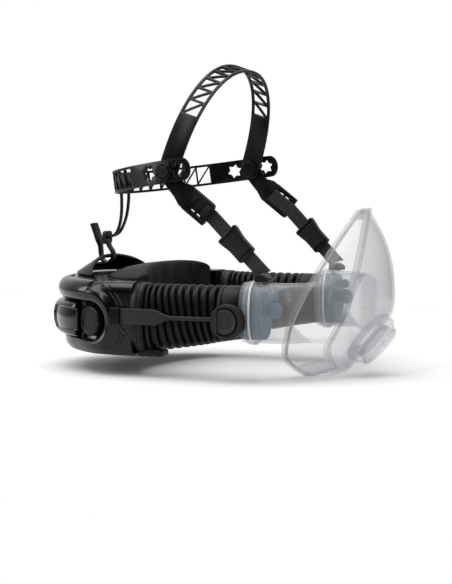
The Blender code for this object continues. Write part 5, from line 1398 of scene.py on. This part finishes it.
def latticeBars(bm, start, stop, cells, height, bar):
    # adds the straight truss between start and stop to bm
    pitch = (stop - start) / cells
    piece = newPiece("truss", bmesh.new(), "strap_black")
    grown(piece, "lattice", lattice, latticeIds,
          {"Cells": cells, "Pitch": pitch, "Height": height, "Bar": bar, "Thickness": layer["thick"] * 0.92,
           "Slope": math.atan2(height, pitch), "Reach": math.hypot(height, pitch), "Start": start,
           "Material": finishes["strap_black"]})
    bm.from_mesh(piece.data)
    bpy.data.objects.remove(piece)


def flatPlate(outline, holes, name="plate"):
    # a flat plate in the along and across plane, its holes cut and its corners rounded
    half = layer["thick"] / 2
    plate = newPiece(name, skin(bmesh.new(), [[Vector((x, y, level)) for x, y in outline]
                                              for level in (-half, half)]), "strap_black")
    for hole in holes:
        cutWith(plate, skin(bmesh.new(), [[Vector((x, y, level)) for x, y in hole]
                                          for level in (-0.004, 0.004)]))
    softenEdges(plate, layer["edge"], 2)
    bm = bmesh.new()
    bm.from_mesh(plate.data)
    bpy.data.objects.remove(plate)
    low = min(v.co.x for v in bm.verts)
    high = max(v.co.x for v in bm.verts)
    for cut in spread(low, high, max(int((high - low) / layer["pitch"]), 3))[1:-1]:
        bmesh.ops.bisect_plane(bm, geom=bm.verts[:] + bm.edges[:] + bm.faces[:], plane_co=(cut, 0, 0),
                               plane_no=(1, 0, 0), dist=1e-7)
    return bm


def addMesh(bm, other):
    mesh = bpy.data.meshes.new("part")
    other.to_mesh(mesh)
    other.free()
    bm.from_mesh(mesh)
    bpy.data.meshes.remove(mesh)


def capsule(start, stop, half, blunt=1.0, count=14):
    # a strip outline with a rounded far end at start
    points = [(start + half * blunt * (1 - math.sin(a)), -half * math.cos(a))
              for a in spread(0, math.pi, count)]
    return [(stop, half)] + [(x, y) for x, y in reversed(points)] + [(stop, -half)]


def roundHole(x, y, radius, count=24):
    return [(x + radius * math.cos(math.tau * k / count), y + radius * math.sin(math.tau * k / count))
            for k in range(count)]


def starHole(x, y, radius):
    points = []
    for corner in range(12):
        r = radius if corner % 2 == 0 else radius * 0.62
        a = math.tau * corner / 12 + math.pi / 12
        points.append((x + r * math.cos(a), y + r * math.sin(a)))
    return rounded(points, 0.0005, 3, closed=True)


def makeCrownStrap():
    tip, width = crown["tip"], crown["width"] / 2
    points, lengths = measure(crownPoint, 0, math.pi, lead=tip)
    table = [(angle, lengths[index + 1]) for index, angle in enumerate(spread(0, math.pi, 700))]
    start = between(table, crown["solid"])
    stop = lengths[-1] - start
    bm = bmesh.new()
    hole = roundHole(tip, 0, peg["hole"])
    addMesh(bm, flatPlate(capsule(0, start, width, 0.9), [hole]))
    other = flatPlate([(lengths[-1] - x, y) for x, y in capsule(0, start, width, 0.9)],
                      [roundHole(lengths[-1] - tip, 0, peg["hole"])])
    addMesh(bm, other)
    rail = crown["rail"]
    for sign in (-1, 1):
        edge = sorted((sign * width, sign * (width - rail)))
        addMesh(bm, flatPlate([(start - 0.0002, edge[0]), (stop + 0.0002, edge[0]),
                               (stop + 0.0002, edge[1]), (start - 0.0002, edge[1])], []))
    latticeBars(bm, start, stop, crown["cells"], 2 * (width - rail), crown["bar"])
    across = Vector((0, 1, crown["lean"])).normalized()
    lay(bm, points, lengths, across, 1)
    settle(newPiece("crownStrap", bm, "strap_black", weld=False), "unit", "crown_strap", smooth=35)


def makeRearBand():
    width, rail = rear["width"] / 2, rear["rail"]
    points, lengths = measure(rearPoint, -rear["end"], rear["end"])
    table = list(zip(spread(-rear["end"], rear["end"], 700), lengths))
    bm = bmesh.new()
    near, far = rear["truss"]
    middle = lengths[-1] / 2
    for side in (-1, 1):
        holes = []
        for angle in rear["stars"]:
            holes.append(starHole(between(table, side * angle), 0, rear["star"]))
        inner = between(table, side * far)
        outline = capsule(0, inner if side < 0 else lengths[-1] - inner, width, 0.75)
        if side > 0:
            outline = [(lengths[-1] - x, y) for x, y in outline]
        addMesh(bm, flatPlate(outline, holes))
        a, b = sorted((between(table, side * near), inner))
        latticeBars(bm, a, b, rear["cells"], 2 * (width - rail), rear["bar"])
        for sign in (-1, 1):
            edge = sorted((sign * width, sign * (width - rail)))
            addMesh(bm, flatPlate([(a - 0.0002, edge[0]), (b + 0.0002, edge[0]), (b + 0.0002, edge[1]),
                                   (a - 0.0002, edge[1])], []))
    a, b = between(table, -near), between(table, near)
    addMesh(bm, flatPlate(rounded([(a, -width), (b, -width), (b, width), (a, width)], 0.0004, 3, closed=True),
                          [roundHole(middle, 0, 0.0019, 16)]))
    across = Vector((0, rear["slope"], 1)).normalized()
    lay(bm, points, lengths, across, -1)
    settle(newPiece("rearBand", bm, "strap_black", weld=False), "rear_band", "rear_band", smooth=35)


cheek = {"width": 0.011, "thick": 0.0016, "ridge": 0.00022, "ridgePitch": 0.0016, "keeperRidges": 9,
         "beside": 0.07335, "route": ((-0.0544, 0.0898), (-0.0711, 0.0773)), "keeperReach": 0.012,
         "keeperGap": 0.0005}


def makeCheekWebbing():
    for name, side in sides:
        keepLow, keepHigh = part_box("strap_keeper_" + name)
        middle = (keepLow + keepHigh) / 2
        start, leave = (Vector((side * cheek["beside"], y, z)) for y, z in cheek["route"])
        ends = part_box("cheek_hook_" + name)
        finish = Vector((side * (abs(ends[0].x + ends[1].x) / 2), (ends[0].y + ends[1].y) / 2,
                         ends[1].z + 0.0003))
        run = (finish - leave).normalized()
        hookTop = ends[1].z
        across = run.cross(xWay * side).normalized()
        length = (leave - start).length
        total = length + (finish - leave).length + 0.0022
        count = int(total / (cheek["ridgePitch"] / 4))
        rings, places = [], []
        halfW, halfT = cheek["width"] / 2, cheek["thick"] / 2
        section = rounded([(-halfW, -halfT), (halfW, -halfT), (halfW, halfT), (-halfW, halfT)], 0.0005, 4,
                          closed=True)
        out = across.cross(run).normalized()
        if out.x * side < 0:
            out = -out
        around = [0.0]
        for a, b in zip(section, section[1:]):
            around.append(around[-1] + math.hypot(b[0] - a[0], b[1] - a[1]))
        around.append(around[-1] + 0.001)
        for place in spread(0, total, count):
            here = start.lerp(leave, place / length) if place < length else \
                leave + run * (place - length)
            ridge = cheek["ridge"] * (0.5 + 0.5 * math.cos(math.tau * place / cheek["ridgePitch"]))
            rings.append([here + across * w
                          + out * (t - math.copysign(ridge, t) * (1 if abs(w) < halfW * 0.8 else 0.4))
                          for w, t in section])
            places.append(place)
        for ring in rings:
            for point in ring:
                if point.z < hookTop - 0.0008:
                    point += run * ((hookTop - 0.0008 - point.z) / run.z)
        piece = newPiece("cheekWebbing-" + name, skin(bmesh.new(), rings, uvs=(places, around)),
                         "webbing_black", weld=False)
        markEdges(piece)
        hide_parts("cheek_webbing_" + name)
        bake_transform(piece)
        # the ridged keeper round the webbing
        rings = []
        reach, gap = cheek["keeperReach"], cheek["keeperGap"]
        outW, outT = halfW + gap + 0.0014, halfT + gap + 0.0013

        def sleeveRing(level, w, t, corner):
            return [middle + run * level + across * a + out * b for a, b in
                    rounded([(-w, -t), (w, -t), (w, t), (-w, t)], corner, 5, closed=True)]
        for level in spread(-reach, reach, cheek["keeperRidges"] * 8 + 1):
            taper = 0.0016 * ease((0.1 - level / reach) / 1.0) * (1 if level < 0 else 0.4)
            inRidge = abs(level) < reach * 0.72
            ridge = 0.00035 * (0.5 + 0.5 * math.cos(math.tau * level / 0.0021)) if inRidge else 0.0
            soft = 0.0006 * ease((abs(level) - reach * 0.93) / (reach * 0.07))
            rings.append(sleeveRing(level, outW + taper - soft, outT - ridge - soft, 0.0007))
        inside = [sleeveRing(level, halfW + gap, halfT + gap, 0.0003) for level in (reach, -reach)]
        settle(newPiece("strapKeeper-" + name, skin(bmesh.new(), rings + inside, pathClosed=True, caps=False),
                        "strap_black"), "strap_keeper_" + name, "strap_keeper_" + name, smooth=45)
        refined("ladder_buckle_" + name, "unit", 0.0005, 3)
        refined("cheek_hook_" + name, "mask", 0.0008, 4)
        # hexagon head on the peg
        low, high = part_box("pivot_peg_" + name)
        centre = Vector((0, peg["y"], peg["z"]))
        inside, outside = sorted((abs(low.x), abs(high.x)))
        profile = [(0, inside), (0.0060, inside), (0.0062, inside + 0.0003), (0.0062, inside + 0.0013),
                   (0.0058, inside + 0.0015), (0.0030, inside + 0.0015), (0.0030, outside - 0.0020),
                   (0.0060, outside - 0.0020), (0.0062, outside - 0.0016), (0.0062, outside - 0.0010),
                   (0.0056, outside - 0.0008), (0, outside - 0.0008)]
        settle(newPiece("pivotPeg-" + name, turn(rounded(profile, 0.0002, 3), centre, xWay * side, 48),
                        "strap_black"), "unit", "pivot_peg_" + name, smooth=40)
        hexagon = rounded(roundHole(0, 0, 0.0048, 6), 0.0004, 3, closed=True)
        rings = [[Vector((side * level, peg["y"] + y * s, peg["z"] + z * s)) for y, z in hexagon]
                 for level, s in ((outside - 0.0012, 1.0), (outside - 0.0003, 1.0), (outside, 0.93))]
        settle(newPiece("pegHead-" + name, skin(bmesh.new(), rings), "strap_black"), "unit", smooth=30)


makeCrownStrap()
makeRearBand()
makeCheekWebbing()
print("harness done")


# nape: hood, two-strand strap with its button and tab, and the neck pad
bridge = {"halfWidth": 0.051, "depth": 0.047, "centreY": 0.028, "lean": 0.022, "rise": 0.0135,
          "end": math.radians(76), "sheet": 0.0020, "slot": (0.0256, 0.0095), "bar": 0.0038, "edge": 0.0005}
nape = {"strand": 0.0028, "spreadTop": 0.0052, "thick": 0.0017, "tab": 0.0030, "dot": 0.00035}
pad = {"halfWidth": 0.054, "depth": 0.0125, "centreY": -0.012, "bottom": -0.024, "rise": 0.0085,
       "apron": 0.026, "channels": 7, "channelDepth": 0.0011, "crown": 0.0012}


def makeHood():
    bm = bmesh.new()
    bm.from_mesh(frame["nodes"]["harness_bridge"].data)
    bmesh.ops.remove_doubles(bm, verts=bm.verts, dist=2e-6)
    bmesh.ops.dissolve_limit(bm, angle_limit=math.radians(0.6), verts=bm.verts, edges=bm.edges)
    piece = newPiece("hood", bm, "strap_black", smooth=180, weld=False)
    softenEdges(piece, bridge["edge"], 3)
    settle(piece, "unit", "harness_bridge", smooth=40)


def ribbon(points, width, thick, widthWay, corner=0.0004):
    # a flat strand along points
    rings = []
    for index, point in enumerate(points):
        run = (points[min(index + 1, len(points) - 1)] - points[max(index - 1, 0)]).normalized()
        wide = width[index] if isinstance(width, list) else width
        side = (widthWay - run * widthWay.dot(run)).normalized()
        out = side.cross(run).normalized()
        section = rounded([(-wide / 2, -thick / 2), (wide / 2, -thick / 2), (wide / 2, thick / 2),
                           (-wide / 2, thick / 2)], corner, 4, closed=True)
        rings.append([point + side * a + out * b for a, b in section])
    return rings


def smoothLine(points, steps=10):
    out = []
    for index in range(len(points) - 1):
        a = points[max(index - 1, 0)]
        b, c = points[index], points[index + 1]
        d = points[min(index + 2, len(points) - 1)]
        for step in range(steps):
            t = step / steps
            out.append(0.5 * ((2 * b) + (c - a) * t + (2 * a - 5 * b + 4 * c - d) * t * t
                              + (3 * b - a - 3 * c + d) * t * t * t))
    out.append(points[-1])
    return out


def napeRoute():
    # the middle line of the plain solid, from the rear band down to the hood and up its tail
    crest = Vector((0, bridge["centreY"] + bridge["depth"] - bridge["lean"], 0.0283 + bridge["rise"]))
    down = Vector((0, bridge["lean"], -bridge["rise"])).normalized()
    out = xWay.cross(down)
    out = -out if out.z < 0 else out
    across = Vector((0, rear["slope"], 1)).normalized()
    back = rearPoint(0.0)
    away = -xWay.cross(across)
    half, height = nape["thick"] / 2, rear["width"]
    hang = back + away * (layer["thick"] / 2 + 0.0003 + half) + across * (height / 2 - 0.001)
    below = hang - across * (height + 0.002)
    local = [crest + down * a + out * b for a, b in
             ((-0.0030, 0.0080), (-0.0030, 0.0010), (0.0002, -0.0032), (0.0050, -0.0036),
              (bridge["bar"] + bridge["slot"][1] * 0.45, bridge["sheet"] * 0.4),
              (bridge["bar"] + 0.0030, bridge["sheet"] + 0.0038))]
    tail = local[-1]
    upper = [hang, hang.lerp(below, 0.5), below, Vector((0, below.y + 0.0016, below.z - 0.016)),
             Vector((0, below.y + 0.0070, below.z - 0.028))]
    lower = [tail + Vector(step) for step in ((0, 0.0008, 0.0075), (0, 0.0035, 0.0160), (0, 0.0065, 0.0240))]
    return upper, local, lower


def makeNapeStrap():
    upper, local, lower = napeRoute()
    button = local[0] + Vector((0, 0.0016, 0.0060))
    bm = bmesh.new()
    for side in (-1, 1):
        line = []
        stops = upper + [button]
        for index, point in enumerate(stops):
            share = index / (len(stops) - 1)
            line.append(point + xWay * side * (0.0050 * (1 - ease((share - 0.25) / 0.75)) + 0.0015))
        skin(bm, ribbon(smoothLine(line), nape["strand"], nape["thick"], xWay))
    skin(bm, ribbon([upper[0], upper[0].lerp(upper[1], 0.5), upper[1]], 0.0126, nape["thick"] * 0.98, xWay))
    skin(bm, ribbon(smoothLine([button] + local), 0.0062, nape["thick"], xWay))
    skin(bm, ribbon(smoothLine([local[-1]] + lower),
                    [0.0058] * 8 + [0.0058 + 0.0042 * ease(k / 8) for k in range(1, 17)] + [0.0100] * 20,
                    nape["tab"] * 0.8, xWay, 0.0009))
    strap = newPiece("napeStrap", bm, "strap_black", weld=False)
    markEdges(strap)
    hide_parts("nape_strap")
    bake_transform(strap)
    # the two-hole button that gathers the strands
    place = Matrix.Translation(button) @ Matrix((xWay, zWay, -yWay)).transposed().to_4x4()
    outline = rounded([(-0.0058, -0.0052), (0.0058, -0.0052), (0.0058, 0.0052), (-0.0058, 0.0052)], 0.0030, 8,
                      closed=True)
    rings = [[place @ Vector((x * share, y * share, level)) for x, y in outline]
             for level, share in ((-0.0016, 0.93), (-0.0012, 1.0), (0.0012, 1.0), (0.0016, 0.93))]
    plate = newPiece("napeButton", skin(bmesh.new(), rings), "strap_black")
    for x in (-0.0026, 0.0026):
        hole = roundHole(x, 0, 0.0015)
        cutWith(plate, skin(bmesh.new(), [[place @ Vector((px, py, level)) for px, py in hole]
                                          for level in (-0.004, 0.004)]))
    settle(plate, "unit", smooth=40)
    tabFace = lower[1].lerp(lower[2], 0.2)
    run = (lower[2] - lower[0]).normalized()
    outward = xWay.cross(run).normalized()
    outward = outward if outward.y > 0 else -outward
    for sign in (-1, 1):
        patch = bmesh.new()
        corners = [tabFace + xWay * x + run * z + outward * sign * nape["tab"] * 0.4
                   for x, z in ((-0.0036, -0.0055), (0.0036, -0.0055), (0.0036, 0.0060), (-0.0036, 0.0060))]
        patch.faces.new([patch.verts.new(p) for p in corners])
        stippleOver("tabGrip-" + ("back" if sign > 0 else "front"), patch, "unit", "strap_black", 0.0010,
                    nape["dot"], 5 + sign)
    refined("nape_stud", "rear_band", 0.0003, 3, smooth=45)


def makeNapePad():
    # a moulded foam pad: crowned face, soft channels, thin apron over the unit's shelf
    shelf = unit["halfHeight"] + 0.0003
    end = padEnd()
    rings = []
    for angle in spread(-end, end, 181):
        fade = math.cos(angle / end * math.pi / 2)
        apron = 0.001 + (pad["apron"] - 0.0002) * max(fade, 0.0)
        crest = shelf + 0.002 + pad["rise"] * max(fade, 0.0) ** 0.5
        y = pad["centreY"] + pad["depth"] * math.cos(angle)
        neck = Vector((pad["halfWidth"] * math.sin(angle), min(y, 0.0), 0))
        wall = fromInner(angle, -0.0003, 0)
        soft = neck.lerp(wall, 0.25)
        wave = 0.5 - 0.5 * math.cos(math.tau * pad["channels"] * (angle / end * 0.5 + 0.5))
        channel = pad["channelDepth"] * (1 - wave ** 0.45)
        inward = (wall - neck).normalized()
        ring = []
        for share in spread(0, 1, 16):
            height = pad["bottom"] + (crest - 0.003 - pad["bottom"]) * share
            plump = pad["crown"] * (1 - (2 * share - 1) ** 2)
            ring.append(neck + inward * (channel * math.sin(math.pi * min(max(share, 0.02), 0.98)) ** 0.4
                                         + pad["crown"] - plump) + zWay * height)
        top = neck + inward * pad["crown"] + zWay * (crest - 0.003)
        lip = soft + zWay * crest
        slope = fromInner(angle, apron * 0.5, crest - (crest - shelf) * 0.35)
        edge = fromInner(angle, apron, shelf + 0.0012)
        for share in (0.3, 0.6, 0.85, 1.0):
            ring.append(top.lerp(top + zWay * 0.003, share).lerp(lip, share))
        for share in (0.25, 0.5, 0.75, 1.0):
            ring.append(lip.lerp(slope, share) + zWay * 0.0006 * math.sin(math.pi * share))
        for share in (0.35, 0.7, 1.0):
            ring.append(slope.lerp(edge, share))
        ring += [fromInner(angle, apron, shelf), wall + zWay * shelf, wall + zWay * pad["bottom"],
                 soft + zWay * (pad["bottom"] - 0.0015)]
        rings.append(ring)
    piece = newPiece("napePad", skin(bmesh.new(), rings), "pad_black", smooth=60)
    settle(piece, "unit", "nape_pad", smooth=60)


def padEnd():
    # the pad stops where its solid does, along the neck
    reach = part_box("nape_pad")[1].x
    low, high = 0.5, unit["endAngle"]
    for step in range(40):
        middle = (low + high) / 2
        if fromInner(middle, -0.0003, 0).x < reach and middle < math.pi / 2:
            low = middle
        else:
            high = middle
    return min(low, math.radians(86))


makeHood()
makeNapeStrap()
makeNapePad()
for node in ("power_button", "charge_socket", "charge_plug", "status_window", "casing_screw_right",
             "casing_screw_left"):
    body = node if node in ("power_button", "charge_plug") else "unit"
    refined(node, body, 0.0002, 2)
print("nape done")


studio = {"target": (0, -0.048, 0.016), "azimuth": -65.0, "elevation": 4.5, "distance": 1.5,
          "pixelMetres": 0.000775, "frame": (452, 584), "sensor": 36.0, "floorSize": 0.55,
          "floorShade": 0.62, "backdrop": 1.0, "around": 0.03, "above": 0.8, "sun": 3.1, "sunAngle": 65.0,
          "lamps": (("key", (-0.95, 0.15, 0.95), (0.30, 0.90), 4.5),
                    ("rear", (-0.55, 1.25, 0.45), (0.50, 0.80), 8.0),
                    ("front", (-0.50, -1.40, 0.60), (0.35, 0.90), 4.0))}


def makeCamera():
    azimuth, elevation = math.radians(studio["azimuth"]), math.radians(studio["elevation"])
    back = Vector((math.sin(azimuth) * math.cos(elevation), -math.cos(azimuth) * math.cos(elevation),
                   math.sin(elevation)))
    lens = bpy.data.cameras.new("camera")
    lens.sensor_width = studio["sensor"]
    focalPixels = studio["distance"] / studio["pixelMetres"]
    lens.lens = focalPixels / max(studio["frame"]) * studio["sensor"]
    lens.clip_start, lens.clip_end = 0.05, 50
    camera = bpy.data.objects.new("camera", lens)
    scene.collection.objects.link(camera)
    camera.location = Vector(studio["target"]) + back * studio["distance"]
    camera.rotation_mode = "QUATERNION"
    camera.rotation_quaternion = (-back).to_track_quat("-Z", "Y")
    scene.camera = camera


def makeFloor():
    low, size = Vector(cadBounds[0]).z, studio["floorSize"]
    bm = bmesh.new()
    bm.faces.new([bm.verts.new((x * size, y * size, low)) for x, y in ((-1, -1), (1, -1), (1, 1), (-1, 1))])
    mesh = bpy.data.meshes.new("floor")
    bm.to_mesh(mesh)
    bm.free()
    s = Surface("floorPaint")
    mesh.materials.append(s.finish({"Specular IOR Level": 0.1}, colour=shade(studio["floorShade"]),
                                   roughness=0.8 + s.noise(900, 2.0) * 0.1))
    floor = bpy.data.objects.new("floor", mesh)
    scene.collection.objects.link(floor)


def aim(thing, place):
    thing.location = place
    thing.rotation_mode = "QUATERNION"
    thing.rotation_quaternion = (Vector(studio["target"]) - Vector(place)).to_track_quat("-Z", "Y")
    scene.collection.objects.link(thing)


def makeLights():
    world = bpy.data.worlds.new("studio")
    world.use_nodes = True
    scene.world = world
    g = Graph(world.node_tree)
    # a white surround to look at, and a dimmer room that is brighter overhead for the gloss
    way = g.add("ShaderNodeSeparateXYZ", None, [g.add("ShaderNodeTexCoord")["Generated"]])
    bright = (way["Z"] * 0.9 + way["X"] * 0.75 + way["Y"] * 0.35).most(0.0).least(1.0)
    room = bright * (studio["above"] - studio["around"]) + studio["around"]
    seen = g.add("ShaderNodeLightPath")["Is Camera Ray"]
    strength = room + seen * (studio["backdrop"] - room)
    background = g.tree.nodes["Background"]
    background.inputs["Color"].default_value = (1, 1, 1, 1)
    g.tree.links.new(strength.socket, background.inputs["Strength"])
    sun = bpy.data.lights.new("overhead", "SUN")
    sun.energy, sun.angle = studio["sun"], math.radians(studio["sunAngle"])
    aim(bpy.data.objects.new("overhead", sun), (-0.15, 0.15, 1.6))
    for name, place, size, power in studio["lamps"]:
        lamp = bpy.data.lights.new(name, "AREA")
        lamp.shape, lamp.size, lamp.size_y, lamp.energy = "RECTANGLE", size[0], size[1], power
        aim(bpy.data.objects.new(name, lamp), place)


makeCamera()
makeFloor()
makeLights()
scene.view_settings.view_transform = "Standard"
print("stage set")
